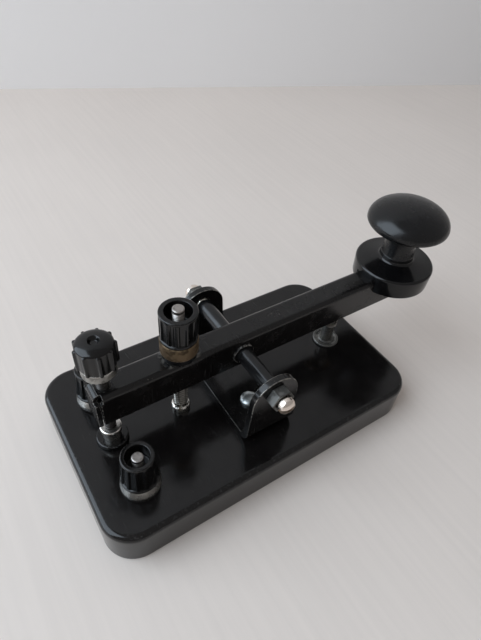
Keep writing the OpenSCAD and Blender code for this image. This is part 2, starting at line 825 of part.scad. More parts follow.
module knob_screw() {
    head_h = 2.4;
    head_edge = 0.5;
    head_r = knob_washer_r - edge_in;
    head_top = lever_under - knob_washer_t;
    slot_angle = 25;
    color(steel) translate([knob_x, 0, 0]) {
        turned(knob_screw_d / 2, head_top - head_h / 2, skirt_seat + knob_screw_l - knob_screw_spare, 0,
            thread_edge);
        difference() {
            turned(head_r, head_top - head_h, head_top, head_edge, 0);
            rotate([180, 0, 0]) slot_cut(head_r, head_h - head_top, slot_angle);
        }
    }
}

module knob_washer() {
    color(steel) translate([knob_x, 0, 0])
        disc(knob_washer_r, knob_screw_d / 2 + fit_clear, lever_under - knob_washer_t, lever_under);
}

// Threaded bush of the gap screw, pressed into the top plate beside the bent-down tab
module gap_bush() {
    color(brass) at(rear_point)
        disc(gap_bush_r, gap_screw_d / 2 + run_clear, lever_under - gap_bush_l, lever_top);
}

module gap_lock_nut() {
    color(nickel) at(rear_point) difference() {
        turned(gap_nut_d / 2, lever_top, lever_top + gap_nut_t, turned_edge, 2 * turned_edge);
        translate([0, 0, lever_top - cut])
            cylinder(r = gap_screw_d / 2 + run_clear, h = gap_nut_t + 2 * cut);
    }
}

module gap_screw() {
    color(steel) at(rear_point)
        turned(gap_screw_d / 2, gap_tip_z, gap_cap_z + gap_side_h, 2 * turned_edge, turned_edge);
}

// Domed cap with upright ribs that stand proud at the dome's edge
module gap_cap() {
    r = gap_cap_d / 2;
    rim = gap_cap_z + gap_side_h;
    dome_r = (r * r + gap_dome_h * gap_dome_h) / (2 * gap_dome_h);
    top = rim + gap_dome_h;
    out = r + gap_rib_out;
    dimple_h = 1.2;
    // The ribs run on a little above the rim, and slope in there
    rib_over = 1;
    rib_slope = 1.6;
    color(black) at(rear_point) difference() {
        union() {
            rotate_extrude() intersection() {
                union() {
                    translate([0, top - dome_r]) circle(r = dome_r);
                    translate([0, gap_cap_z]) square([r, gap_side_h]);
                }
                translate([0, gap_cap_z]) square([r, top - gap_cap_z]);
            }
            intersection() {
                translate([0, 0, gap_cap_z]) linear_extrude(height = gap_side_h + rib_over + cut)
                    for (i = [0:gap_ribs - 1])
                        rotate(360 / gap_ribs * i) translate([0, -rib_w / 2]) square([out + cut, rib_w]);
                turned(out, gap_cap_z, rim + rib_over, turned_edge, rib_slope);
            }
        }
        translate([0, 0, top - dimple_h]) cylinder(r1 = gap_dimple_r / 2, r2 = gap_dimple_r, h = dimple_h);
        translate([0, 0, gap_cap_z - cut])
            cylinder(r = gap_screw_d / 2 + run_clear, h = gap_side_h + face_clear + cut);
    }
}

// Points of a ring of wire at one place along the coil
function coil_ring(a, z, sides) =
    [for (k = [0:sides - 1]) let (t = 360 / sides * k, q = spring_r + spring_wire / 2 * cos(t))
        [q * cos(a), q * sin(a), z + spring_wire / 2 * sin(t)]];

// The spring is swept along a close helix; its end turns are ground flat against what they grip
module return_spring() {
    sides = 6;
    steps = 16;
    turns = (spring_high - spring_low) / spring_pitch;
    count = round(turns * steps);
    rings = [for (i = [0:count]) coil_ring(360 / steps * i, spring_low + spring_pitch * i / steps, sides)];
    points = [for (ring = rings) each ring];
    walls = [for (i = [0:count - 1], k = [0:sides - 1]) let (n = (k + 1) % sides)
        [i * sides + k, (i + 1) * sides + k, (i + 1) * sides + n, i * sides + n]];
    first = [for (k = [0:sides - 1]) k];
    last = [for (k = [sides - 1:-1:0]) count * sides + k];
    color(steel) at(spring_point) polyhedron(points, concat(walls, [first, last]));
}

module spring_collar() {
    color(brass) at(spring_point) difference() {
        turned(spring_collar_d / 2, lever_top, lever_top + spring_collar_h, turned_edge, turned_edge);
        translate([0, 0, lever_top - cut])
            cylinder(r = spring_stud_d / 2 + run_clear, h = spring_collar_h + 2 * cut);
    }
}

// Threaded stud whose lower end carries the highest turns of the spring
module spring_stud() {
    shoulder = spring_high + spring_wire;
    color(steel) at(spring_point) {
        turned(spring_stud_d / 2, shoulder, lever_top + spring_stud_top, 0, thread_edge);
        turned(spring_plug_r, spring_high - stud_neck_l, shoulder, thread_edge, 0);
    }
}

module spring_nut() {
    color(black) at(spring_point)
        hollow_nut(spring_nut_d, spring_nut_z, spring_nut_h, spring_hollow_d, spring_hollow_h, spring_ribs,
            fit_clear);
}

module spring_nut_bush() {
    color(brass) at(spring_point) flanged_bush(spring_nut_z, bush_l, spring_stud_d / 2 + run_clear);
}

base();
fulcrum_bracket();
bracket_screws();
pivot_screw_near();
pivot_screw_far();
pivot_lock_nut_near();
pivot_lock_nut_far();
rear_contact_post();
rear_post_ring();
front_contact_post();
front_post_foot();
spring_anchor();
terminal_studs();
terminal_seat_nuts();
terminal_bush_near();
terminal_bush_far();
terminal_cap_near();
terminal_cap_far();
underside_nuts();
strap_front();
strap_bracket();
lever();
axle();
axle_collars();
contact_bridge();
lever_contact();
knob();
knob_skirt();
knob_screw();
knob_washer();
gap_bush();
gap_lock_nut();
gap_screw();
gap_cap();
return_spring();
spring_collar();
spring_stud();
spring_nut();
spring_nut_bush();
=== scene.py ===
import json
import math

import bmesh
import bpy
from bpy.props import FloatProperty, FloatVectorProperty, IntProperty, PointerProperty
from mathutils import Matrix, Vector


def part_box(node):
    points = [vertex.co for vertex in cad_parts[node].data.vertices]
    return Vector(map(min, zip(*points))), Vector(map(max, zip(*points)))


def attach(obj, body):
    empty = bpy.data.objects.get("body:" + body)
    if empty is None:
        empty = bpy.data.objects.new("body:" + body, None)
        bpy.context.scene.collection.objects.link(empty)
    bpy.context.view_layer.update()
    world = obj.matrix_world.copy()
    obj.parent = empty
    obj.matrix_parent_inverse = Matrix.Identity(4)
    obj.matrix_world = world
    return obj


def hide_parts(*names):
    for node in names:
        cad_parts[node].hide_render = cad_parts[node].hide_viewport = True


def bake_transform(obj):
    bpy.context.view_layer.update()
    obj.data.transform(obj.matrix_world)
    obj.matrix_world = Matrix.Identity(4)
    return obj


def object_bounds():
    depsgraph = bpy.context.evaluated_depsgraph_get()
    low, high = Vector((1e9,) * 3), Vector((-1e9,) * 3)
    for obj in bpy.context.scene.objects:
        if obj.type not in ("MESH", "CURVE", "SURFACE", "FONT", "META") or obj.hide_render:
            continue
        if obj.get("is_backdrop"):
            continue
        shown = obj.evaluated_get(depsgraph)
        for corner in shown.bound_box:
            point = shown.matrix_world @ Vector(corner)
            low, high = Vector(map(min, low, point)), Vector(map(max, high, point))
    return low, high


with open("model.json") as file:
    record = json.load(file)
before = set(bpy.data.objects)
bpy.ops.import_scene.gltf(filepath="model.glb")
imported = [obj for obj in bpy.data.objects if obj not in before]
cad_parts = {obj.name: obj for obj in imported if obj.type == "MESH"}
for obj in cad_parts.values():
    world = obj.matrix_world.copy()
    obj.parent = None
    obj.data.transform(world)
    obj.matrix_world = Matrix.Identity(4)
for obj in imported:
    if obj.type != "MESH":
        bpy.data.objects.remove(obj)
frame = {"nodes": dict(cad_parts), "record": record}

bl_info = {
    "name": "Telegraph key looks",
    "version": (1, 0, 0),
    "blender": (4, 5, 0),
    "location": "View3D > Sidebar > Key",
    "description": "Dresses the packed telegraph key with turned pieces, worn finishes, a lamp and a camera",
    "category": "Object",
}

# All shapes are worked out in millimetres; Blender's own unit is the metre
MM = 0.001
CAD_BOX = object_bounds()
BODY_OF = {node: body for body, nodes in frame["record"]["behaviour"]["bodies"].items() for node in nodes}
FINISHES = {}

# Radii of the bores for the 4 mm screws, of the shanks in the base, and of the necks that the spring grips
BORE_R = 2.05
SHANK_R = 2.0
SPRING_CORE_R = 1.81
# Bends from these angles up stay sharp: on shapes that are built here, and on folded and flat pieces
SHARP_ANGLE = 38
SHEET_ANGLE = 35
# Sides of a turned piece where nothing else is asked for
COLUMNS = 72


def node_box(node):
    """Lowest and highest corner of a CAD node, in millimetres"""
    low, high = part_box(node)
    return Vector(low) / MM, Vector(high) / MM


def upright(node):
    """The vertical line through the middle of a CAD node"""
    low, high = node_box(node)
    return Matrix.Translation(((low.x + high.x) / 2, (low.y + high.y) / 2, 0))


def standing(node):
    """Radius, foot and top of a round CAD node that stands upright, in millimetres"""
    low, high = node_box(node)
    return (high.x - low.x) / 2, low.z, high.z


def in_mm(settings, *names):
    """Lengths out of a group of settings, in millimetres"""
    return [getattr(settings, name) / MM for name in names]


def polar(radius, angle, height=0.0):
    """A point at that distance and angle round the axis"""
    return Vector((radius * math.cos(angle), radius * math.sin(angle), height))


def sideways(height, side):
    """A horizontal axis at that height, pointing away from the lever: side is -1 for near and 1 for far"""
    return Matrix.Translation((0, 0, height)) @ Matrix.Rotation(math.radians(-90 * side), 4, "X")


class Shape:
    """Points and faces in millimetres, with a mark from 0 to 1 on each point for how worn its place gets"""

    def __init__(self):
        self.points = []
        self.faces = []
        self.marks = []

    def ring(self, points, marks):
        start = len(self.points)
        self.points.extend(points)
        self.marks.extend(marks)
        return list(range(start, len(self.points)))

    def join(self, a, b):
        """Faces between two rings, either of which may be a single point"""
        count = max(len(a), len(b))
        for i in range(count):
            j = (i + 1) % count
            if len(a) == 1:
                self.faces.append((a[0], b[j], b[i]))
            elif len(b) == 1:
                self.faces.append((a[i], a[j], b[0]))
            else:
                self.faces.append((a[i], a[j], b[j], b[i]))


def rounded(corners, wrap=False, beside=0.3):
    """Rows (radius, height, mark, rib share, thread depth) along a section.
    Each corner is (radius, height, rounding, rib share). A rounded one becomes an arc, marked if tight."""
    rows = []
    count = len(corners)
    full = [tuple(corner) + (0.0,) * (4 - len(corner)) for corner in corners]
    for i, (radius, height, bend, rib) in enumerate(full):
        first_or_last = not wrap and i in (0, count - 1)
        if not bend or first_or_last:
            rows.append((radius, height, 0.0, rib, 0.0))
            continue
        here = Vector((radius, height))
        sides = []
        for other in (full[i - 1], full[(i + 1) % count]):
            way = Vector(other[:2]) - here
            sides.append((way.normalized(), way.length, other[3]))
        half = sides[0][0].angle(sides[1][0]) / 2
        reach = min(bend / math.tan(half), 0.45 * sides[0][1], 0.45 * sides[1][1])
        centre = here + (sides[0][0] + sides[1][0]).normalized() * reach / math.cos(half)
        ends = [here + side[0] * reach for side in sides]
        steps = max(2, round((math.pi - 2 * half) / math.radians(20)))
        arc = []
        for k in range(steps + 1):
            spoke = (ends[0] - centre).slerp(ends[1] - centre, k / steps) * (ends[0] - centre).length
            arc.append((centre.x + spoke.x, centre.y + spoke.y, 1.0 if bend < 1 else 0.0, rib, 0.0))
        supports = []
        for way, length, other_rib in sides:
            if reach + beside < length / 2:
                share = (reach + beside) / length
                point = here + way * (reach + beside)
                supports.append([(point.x, point.y, 0.0, rib + (other_rib - rib) * share, 0.0)])
            else:
                supports.append([])
        rows += supports[0] + arc + supports[1]
    return rows


def plain(*points):
    """Rows through these points (radius, height), without marks, ribs or threads"""
    return [(radius, height, 0.0, 0.0, 0.0) for radius, height in points]


def oval(radius, height, across, up, start, end, steps=12):
    """Rows along part of an ellipse"""
    rows = []
    for k in range(steps + 1):
        angle = math.radians(start + (end - start) * k / steps)
        rows.append((radius + across * math.cos(angle), height + up * math.sin(angle), 0.0, 0.0, 0.0))
    return rows


def thread_rows(radius, low, high, pitch):
    """Rows with the depth of a screw thread, which fades out at both ends"""
    rows = []
    count = max(2, round((high - low) / pitch * 7))
    for k in range(count + 1):
        height = low + (high - low) * k / count
        fade = min(1.0, (height - low) / pitch, (high - height) / pitch)
        rows.append((radius, height, 0.0, 0.0, max(fade, 0.0)))
    return rows


def rib_columns(count, share, soft=0.07):
    """Angles round a ribbed piece, each with how far a rib stands out there and whether it is a rib's edge"""
    half = share / 2
    one_side = [(0.0, 1.0, 0.3), (half - soft, 0.97, 0.9), (half - soft / 3, 0.8, 1.0),
        (half + soft / 3, 0.2, 0.2), (half + soft, 0.0, 0.0), ((half + soft + 0.5) / 2, 0.0, 0.0)]
    period = [(-t, pulse, mark) for t, pulse, mark in reversed(one_side[1:])] + one_side + [(0.5, 0.0, 0.0)]
    return [((i + t) / count * math.tau, pulse, mark) for i in range(count) for t, pulse, mark in period]


def turned(shape, rows, place, columns=COLUMNS, wrap=False, rib_out=0.0, pitch=0.7, depth=0.36):
    """Turns rows round the axis of a place, with ribs and screw threads where the rows ask for them"""
    if isinstance(columns, int):
        columns = [(math.tau * i / columns, 0.0, 0.0) for i in range(columns)]
    rings = []
    for radius, height, mark, rib, thread in rows:
        if radius < 1e-6:
            rings.append(shape.ring([place @ Vector((0, 0, height))], [mark]))
            continue
        points = []
        marks = []
        for angle, pulse, crest in columns:
            wave = 0.5 - 0.5 * math.cos(math.tau * (height / pitch - angle / math.tau))
            r = radius + rib_out * rib * pulse - depth * thread * wave
            points.append(place @ polar(r, angle, height))
            marks.append(max(mark, crest * rib, 0.6 * thread * (1 - wave)))
        rings.append(shape.ring(points, marks))
    for a, b in zip(rings, rings[1:] + (rings[:1] if wrap else [])):
        shape.join(a, b)
    return shape


def rod_rows(radius, low, high, low_round, high_round, pitch=0.0):
    """Rows of a plain or threaded rod with closed, rounded ends"""
    rows = rounded([(0, low), (radius, low, low_round), (radius, high, high_round), (0, high)])
    if pitch:
        upper = [i for i, row in enumerate(rows) if row[1] > (low + high) / 2][0]
        plain_end = 0.35
        middle = thread_rows(radius, low + low_round + plain_end, high - high_round - plain_end, pitch)
        rows = rows[:upper] + middle + rows[upper:]
    return rows


def ring_rows(inner, outer, low, high, bend):
    """Rows of a ring with rounded outer edges"""
    return rounded([(inner, low), (outer, low, bend), (outer, high, bend), (inner, high)], beside=0.2)


def box_shape(size, place):
    """A plain block for cutting slots and grooves"""
    shape = Shape()
    half = Vector(size) / 2
    rings = []
    for z in (-half.z, half.z):
        corners = [(-half.x, -half.y), (half.x, -half.y), (half.x, half.y), (-half.x, half.y)]
        rings.append(shape.ring([place @ Vector((x, y, z)) for x, y in corners], [0.0] * 4))
    shape.join(rings[0], rings[1])
    shape.faces += [tuple(reversed(rings[0])), tuple(rings[1])]
    return shape


def mesh_of(name, shape):
    """Turns a shape into a mesh in metres, with its marks as an attribute"""
    mesh = bpy.data.meshes.new(name)
    mesh.from_pydata([point * MM for point in shape.points], [], shape.faces)
    mesh.attributes.new("edge", "FLOAT", "POINT").data.foreach_set("value", shape.marks)
    work = bmesh.new()
    work.from_mesh(mesh)
    bmesh.ops.recalc_face_normals(work, faces=work.faces)
    work.to_mesh(mesh)
    work.free()
    return mesh


def linked(name, data):
    """A new object in the scene"""
    obj = bpy.data.objects.new(name, data)
    bpy.context.scene.collection.objects.link(obj)
    return obj


def applied(obj):
    """The mesh that an object's modifiers make"""
    return bpy.data.meshes.new_from_object(obj.evaluated_get(bpy.context.evaluated_depsgraph_get()))


def cut_away(mesh, cutter):
    """The mesh without what lies inside the cutter's shape"""
    body = linked("cut_body", mesh)
    tool = linked("cut_tool", mesh_of("cut_tool", cutter))
    step = body.modifiers.new("cut", "BOOLEAN")
    step.operation = "DIFFERENCE"
    step.solver = "EXACT"
    step.object = tool
    result = applied(body)
    for obj in (body, tool):
        bpy.data.objects.remove(obj)
    return result


def slotted(mesh, place, height, angle, size):
    """The mesh with a slot of that size cut across it, at a height and angle of its place"""
    turn = Matrix.Rotation(math.radians(angle), 4, "Z")
    return cut_away(mesh, box_shape(size, place @ turn @ Matrix.Translation((0, 0, height))))


def place_piece(name, mesh, finish, node, sharp=SHARP_ANGLE, rides=True):
    """Puts a mesh in place of a CAD node with the finish given: it rides on the node's body unless told not
    to
    """
    obj = linked(name, mesh)
    if sharp:
        mesh.shade_smooth()
        mesh.set_sharp_from_angle(angle=math.radians(sharp))
    mesh.materials.clear()
    mesh.materials.append(FINISHES[finish])
    if rides:
        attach(obj, BODY_OF[node])
    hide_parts(node)
    return obj


def shaped_piece(name, shape, finish, node):
    """A shape in place of one CAD node"""
    place_piece(name, mesh_of(name, shape), finish, node)


def turned_piece(name, rows, finish, node, place=None, **how):
    """One turned piece in place of one CAD node, upright in its middle unless a place is given"""
    shaped_piece(name, turned(Shape(), rows, place or upright(node), **how), finish, node)


def softened_mesh(name, mesh, finish, width, node):
    """Rounds and marks the sharp edges of a mesh and puts it in place of a CAD node"""
    custom = mesh.attributes.get("custom_normal")
    if custom:
        mesh.attributes.remove(custom)
    work = bmesh.new()
    work.from_mesh(mesh)
    bmesh.ops.remove_doubles(work, verts=work.verts, dist=0.002 * MM)
    bmesh.ops.dissolve_limit(work, angle_limit=math.radians(0.6), verts=work.verts, edges=work.edges)
    bmesh.ops.recalc_face_normals(work, faces=work.faces)
    work.to_mesh(mesh)
    work.free()
    mesh.shade_smooth()
    mesh.set_sharp_from_angle(angle=math.radians(SHEET_ANGLE))
    mesh.materials.clear()
    for _ in range(2):
        mesh.materials.append(FINISHES[finish])
    obj = linked("soften", mesh)
    step = obj.modifiers.new("edges", "BEVEL")
    step.limit_method = "ANGLE"
    step.angle_limit = math.radians(SHEET_ANGLE)
    step.width = width * MM
    step.segments = 3
    step.use_clamp_overlap = False
    step.harden_normals = True
    step.material = 1
    result = applied(obj)
    bpy.data.objects.remove(obj)
    marks = [0.0] * len(result.loops)
    for face in result.polygons:
        if face.material_index == 1:
            for i in face.loop_indices:
                marks[i] = 1.0
        face.material_index = 0
    result.attributes.new("edge", "FLOAT", "CORNER").data.foreach_set("value", marks)
    place_piece(name, result, finish, node, sharp=0)


def softened_piece(name, node, finish, width):
    """A copy of a folded or flat CAD node with rounded, marked edges, in place of the node"""
    softened_mesh(name, frame["nodes"][node].data.copy(), finish, width, node)


def finish_nodes(finish, *nodes):
    """Gives CAD nodes that stay as they are their finish"""
    for node in nodes:
        obj = frame["nodes"][node]
        for slot in obj.material_slots:
            slot.material = FINISHES[finish]
        if not obj.material_slots:
            obj.data.materials.append(FINISHES[finish])


class Finish:
    """Builds one material out of nodes; lengths in its textures are in millimetres of the object"""

    def __init__(self, name, **sockets):
        self.material = bpy.data.materials.new(name)
        self.material.use_nodes = True
        self.tree = self.material.node_tree
        self.shader = self.tree.nodes["Principled BSDF"]
        for socket, value in sockets.items():
            self.shader.inputs[socket.replace("_", " ").title().replace("Ior", "IOR")].default_value = value
        self.where = self.new("ShaderNodeTexCoord").outputs
        FINISHES[name] = self.material

    def new(self, kind, **settings):
        node = self.tree.nodes.new(kind)
        for key, value in settings.items():
            setattr(node, key, value)
        return node

    def put(self, socket, value):
        """Sets an input to a number or colour, or links it to another node's output"""
        if isinstance(value, bpy.types.NodeSocket):
            self.tree.links.new(value, socket)
        elif isinstance(value, tuple) and len(value) == 3 and socket.type == "RGBA":
            socket.default_value = value + (1.0,)
        else:
            socket.default_value = value

    def noise(self, size, detail=2.0, stretch=(1, 1, 1), angle=0.0, rough=0.55, shift=0.0):
        """Cloudy noise with blotches of that size in millimetres, drawn out along its own X, Y or Z"""
        mapping = self.new("ShaderNodeMapping")
        mapping.inputs["Location"].default_value = (shift, shift * 0.7, shift * 0.3)
        mapping.inputs["Rotation"].default_value = (0, 0, math.radians(angle))
        mapping.inputs["Scale"].default_value = [1 / (size * MM * s) for s in stretch]
        self.put(mapping.inputs["Vector"], self.where["Object"])
        node = self.new("ShaderNodeTexNoise")
        node.inputs["Scale"].default_value = 1.0
        node.inputs["Detail"].default_value = detail
        node.inputs["Roughness"].default_value = rough
        self.put(node.inputs["Vector"], mapping.outputs[0])
        return node.outputs["Fac"]

    def step(self, value, low, high, start=0.0, end=1.0):
        """Rises smoothly from start to end while the value goes from low to high"""
        node = self.new("ShaderNodeMapRange", interpolation_type="SMOOTHSTEP")
        ends = {"Value": value, "From Min": low, "From Max": high, "To Min": start, "To Max": end}
        for socket, number in ends.items():
            self.put(node.inputs[socket], number)
        return node.outputs["Result"]

    def math(self, operation, a, b=0.0):
        node = self.new("ShaderNodeMath", operation=operation)
        self.put(node.inputs[0], a)
        self.put(node.inputs[1], b)
        return node.outputs[0]

    def times(self, a, b):
        return self.math("MULTIPLY", a, b)

    def most(self, a, b):
        return self.math("MAXIMUM", a, b)

    def mix(self, share, a, b):
        """A colour between two colours"""
        node = self.new("ShaderNodeMix", data_type="RGBA")
        self.put(node.inputs[0], share)
        self.put(node.inputs[6], a)
        self.put(node.inputs[7], b)
        return node.outputs[2]

    def blend(self, share, a, b):
        """A number between two numbers"""
        node = self.new("ShaderNodeMix", data_type="FLOAT")
        self.put(node.inputs[0], share)
        self.put(node.inputs[2], a)
        self.put(node.inputs[3], b)
        return node.outputs[0]

    def edge(self):
        return self.new("ShaderNodeAttribute", attribute_name="edge").outputs["Fac"]

    def along(self, axis):
        """The surface's place along X, Y or Z of its piece, in millimetres"""
        node = self.new("ShaderNodeSeparateXYZ")
        self.put(node.inputs[0], self.where["Object"])
        return self.math("DIVIDE", node.outputs[axis], MM)

    def scratches(self, amount, sparse=0.6):
        """Fine straight scratches in four directions, only here and there"""
        lines = None
        for k, angle in enumerate((12, 58, 101, 147)):
            line = self.noise(0.16, 1.0, (1, 60, 60), angle, shift=k * 7.3)
            line = self.step(line, 0.69, 0.74)
            line = self.times(line, self.step(self.noise(9, 1.0, shift=k * 3.1), sparse, sparse + 0.08))
            lines = line if lines is None else self.most(lines, line)
        return self.times(lines, amount)

    def wear(self, amount, size=0.9):
        """Where an edge has lost its surface: broken up by noise"""
        worn = self.math("ADD", self.edge(), self.times(self.noise(size, 3.0), 0.9))
        worn = self.step(worn, 1.62 - 0.5 * amount, 1.86 - 0.5 * amount)
        return self.times(worn, min(1.0, amount * 2))

    def finish(self, colour, rough, metal=None, bumps=()):
        """Connects colour, roughness, metal and a chain of (height, strength, distance in millimetres)"""
        self.put(self.shader.inputs["Base Color"], colour)
        self.put(self.shader.inputs["Roughness"], rough)
        if metal is not None:
            self.put(self.shader.inputs["Metallic"], metal)
        normal = None
        for height, strength, distance in bumps:
            node = self.new("ShaderNodeBump")
            node.inputs["Strength"].default_value = strength
            node.inputs["Distance"].default_value = distance * MM
            self.put(node.inputs["Height"], height)
            if normal:
                self.put(node.inputs["Normal"], normal)
            normal = node.outputs[0]
        if normal:
            self.put(self.shader.inputs["Normal"], normal)


def moulded_finish(name, tones, rough, worn, amount, scratch):
    """Polished black moulding: cloudy gloss, hairline scratches, a little dust, paler worn edges"""
    f = Finish(name, ior=1.43)
    cloud = f.noise(14, 3.0)
    grain = f.noise(0.35, 2.0)
    lines = f.scratches(scratch)
    wear = f.wear(amount)
    dust = f.times(f.step(f.noise(0.55, 1.0, shift=4.0), 0.75, 0.8), 0.3)
    colour = f.mix(f.step(cloud, 0.3, 0.7), tones[0], tones[1])
    colour = f.mix(wear, colour, worn)
    colour = f.mix(f.most(lines, dust), colour, (0.16, 0.155, 0.15))
    gloss = f.step(f.noise(6, 4.0, shift=9.0), 0.3, 0.75, rough * 0.75, rough * 1.35)
    gloss = f.blend(wear, gloss, 0.3)
    gloss = f.blend(f.most(lines, dust), gloss, 0.5)
    f.finish(colour, gloss, None, [(cloud, 0.12, 0.5), (grain, 0.05, 0.02), (lines, 0.3, 0.02)])


def enamel_finish(name, tones, rough, amount, scratch, extra, worn_from):
    """Black enamel on steel: orange-peel gloss, chips, scratches, and edges that are bare above a height"""
    f = Finish(name, ior=1.43)
    cloud = f.noise(11, 3.0)
    peel = f.noise(0.8, 2.0)
    lines = f.scratches(scratch, 0.58)
    chips = f.step(f.noise(0.5, 1.0, shift=2.0), 0.755, 0.775)
    chips = f.times(chips, f.step(f.noise(8, 2.0, shift=5.0), 0.56, 0.66))
    bare = f.times(f.wear(amount), f.step(f.along("Z"), worn_from - 4, worn_from, 0.15, 1.0))
    bare = f.most(bare, chips)
    if extra:
        bare = f.most(bare, extra(f))
    colour = f.mix(f.step(cloud, 0.3, 0.7), tones[0], tones[1])
    metal_tone = f.mix(f.noise(1.4, 3.0, shift=3.0), (0.20, 0.19, 0.175), (0.46, 0.44, 0.40))
    colour = f.mix(lines, colour, (0.22, 0.215, 0.21))
    colour = f.mix(bare, colour, metal_tone)
    gloss = f.step(f.noise(5, 4.0, shift=9.0), 0.3, 0.75, rough * 0.75, rough * 1.4)
    gloss = f.blend(bare, f.blend(lines, gloss, 0.5), 0.38)
    sunk = f.math("SUBTRACT", 0.0, bare)
    f.finish(colour, gloss, bare, [(cloud, 0.1, 0.4), (peel, 0.05, 0.05), (sunk, 0.5, 0.03)])


def metal_finish(name, clean, dull, rough, dull_share, amount):
    """Old plated or bare metal: dull patches, turning marks, bright rubbed edges"""
    f = Finish(name, metallic=1.0)
    patches = f.step(f.noise(2.6, 4.0), 0.62 - 0.4 * dull_share, 0.85 - 0.4 * dull_share)
    specks = f.step(f.noise(0.4, 1.0, shift=6.0), 0.66, 0.74)
    marks = f.noise(0.12, 1.0, (30, 30, 1))
    rubbed = f.wear(amount, 0.6)
    colour = f.mix(f.most(patches, f.times(specks, 0.7)), clean, dull)
    colour = f.mix(rubbed, colour, tuple(min(1.0, c * 1.25) for c in clean))
    gloss = f.blend(patches, f.blend(marks, rough * 0.8, rough * 1.2), min(1.0, rough * 1.7))
    gloss = f.blend(rubbed, gloss, rough * 0.8)
    f.finish(colour, gloss, None, [(marks, 0.3, 0.015), (f.noise(0.7, 3.0), 0.12, 0.04)])


def lever_marks(f):
    """Where the lever's paint has gone, with a painted highlight: a thin bare line along the far bend, made
    bright there as a painted highlight of that edge, and residue round the spring collar
    """
    high = node_box("lever")[1]
    # The far bend's line is partly worn paint and partly a painted highlight: it is laid on the far edge only
    highlight_line_y = high.y - 0.6
    bend = f.step(f.math("ABSOLUTE", f.math("SUBTRACT", f.along("Y"), highlight_line_y)), 0.14, 0.28, 1.0, 0.0)
    top = f.step(f.along("Z"), high.z - 0.5, high.z - 0.3)
    line = f.times(f.times(bend, top), f.step(f.noise(3, 2.0, (4, 1, 1), shift=8.0), 0.30, 0.45))
    collar_edge, ring_edge = 6.0, 7.6
    centre = upright("spring_collar").translation
    residue = f.times(top, grey_residue(f, centre, collar_edge, ring_edge))
    return f.most(f.times(line, 0.85), f.times(residue, 0.35))


def grey_residue(f, centre, inner, outer):
    """A broken ring of residue round an upright piece"""
    x = f.math("SUBTRACT", f.along("X"), centre.x)
    y = f.math("SUBTRACT", f.along("Y"), centre.y)
    away = f.math("SQRT", f.math("ADD", f.times(x, x), f.times(y, y)))
    ring = f.times(f.step(away, inner - 0.3, inner), f.step(away, inner, outer, 1.0, 0.0))
    return f.times(ring, f.step(f.noise(1.6, 4.0, shift=11.0), 0.40, 0.55))


def mm_value(label, note, default, low, high):
    """A length that can be set: given here in millimetres, kept in metres"""
    ends = {"default": default * MM, "min": low * MM, "max": high * MM}
    return FloatProperty(name=label, description=note, unit="LENGTH", **ends)


def share_value(label, note, default, low, high):
    """A share of something that can be set"""
    return FloatProperty(name=label, description=note, default=default, min=low, max=high, subtype="FACTOR")


def whole_value(label, note, default, low, high):
    """A number of things that can be set"""
    return IntProperty(name=label, description=note, default=default, min=low, max=high)


def tint_value(label, note, default):
    """A colour that can be set"""
    ends = {"default": default, "min": 0.0, "max": 1.0}
    return FloatVectorProperty(name=label, description=note, subtype="COLOR", **ends)


class KeyMoulding(bpy.types.PropertyGroup):
    """Sizes of the moulded base and of the softened edges"""
    top_round: mm_value("Top edge", "Radius of the base's top edge", 2, 0.5, 3)
    corner: mm_value("Corner", "Radius of the base's corners from above", 11.3, 6, 14)
    wall: mm_value("Wall", "Thickness of the base's side walls", 3.2, 2, 5)
    ceiling: mm_value("Ceiling", "Height of the hollow under the base", 10.2, 8, 12)
    fold_edge: mm_value("Sheet edges", "Rounding of the edges of folded sheet", 0.25, 0.1, 0.5)


class KeyKnob(bpy.types.PropertyGroup):
    """Proportions of the turned knob"""
    waist: share_value("Waist", "Where the neck is narrowest, as a share of its height", 0.42, 0.2, 0.7)
    flare: share_value("Flare", "How far the underside's hollow reaches out", 0.56, 0.45, 0.75)
    lip: share_value("Lip", "Width of the rounded lip under the rim", 0.2, 0.1, 0.3)
    neck: mm_value("Neck", "Radius of the neck at its narrowest", 6.3, 4.5, 7)
    foot: mm_value("Foot", "Radius of the neck's foot", 6.7, 6, 8.5)
    rim_up: mm_value("Rim", "Height of the cap's rim above its lower edge", 2.1, 1, 3)
    dome: mm_value("Dome", "Height of the cap's dome above its rim", 8, 6, 9)
    skirt_crest: mm_value("Skirt crest", "Height of the skirt's rim", 48.4, 48, 49)
    seam: mm_value("Seam", "Height at which the neck meets the skirt's hub", 52.2, 50.5, 54)
    skirt_edge: mm_value("Skirt edge", "Height of the skirt's lower edge", 40, 38, 42)


class KeyThreads(bpy.types.PropertyGroup):
    """Threads, ribs and slots"""
    fine_pitch: mm_value("Stud pitch", "Pitch of the studs' threads", 0.7, 0.5, 1)
    coarse_pitch: mm_value("Pivot pitch", "Pitch of the pivot screws' threads", 1, 0.7, 1.2)
    cap_ribs: whole_value("Hollow nut ribs", "Number of ribs on each hollow nut", 12, 8, 14)
    dome_ribs: whole_value("Domed cap ribs", "Number of ribs on the domed cap", 9, 6, 14)
    rib_out: mm_value("Rib height", "How far the hollow nuts' ribs stand out", 0.55, 0.3, 0.8)
    slot: mm_value("Slot", "Width of the screwdriver slots", 1.2, 0.8, 1.6)


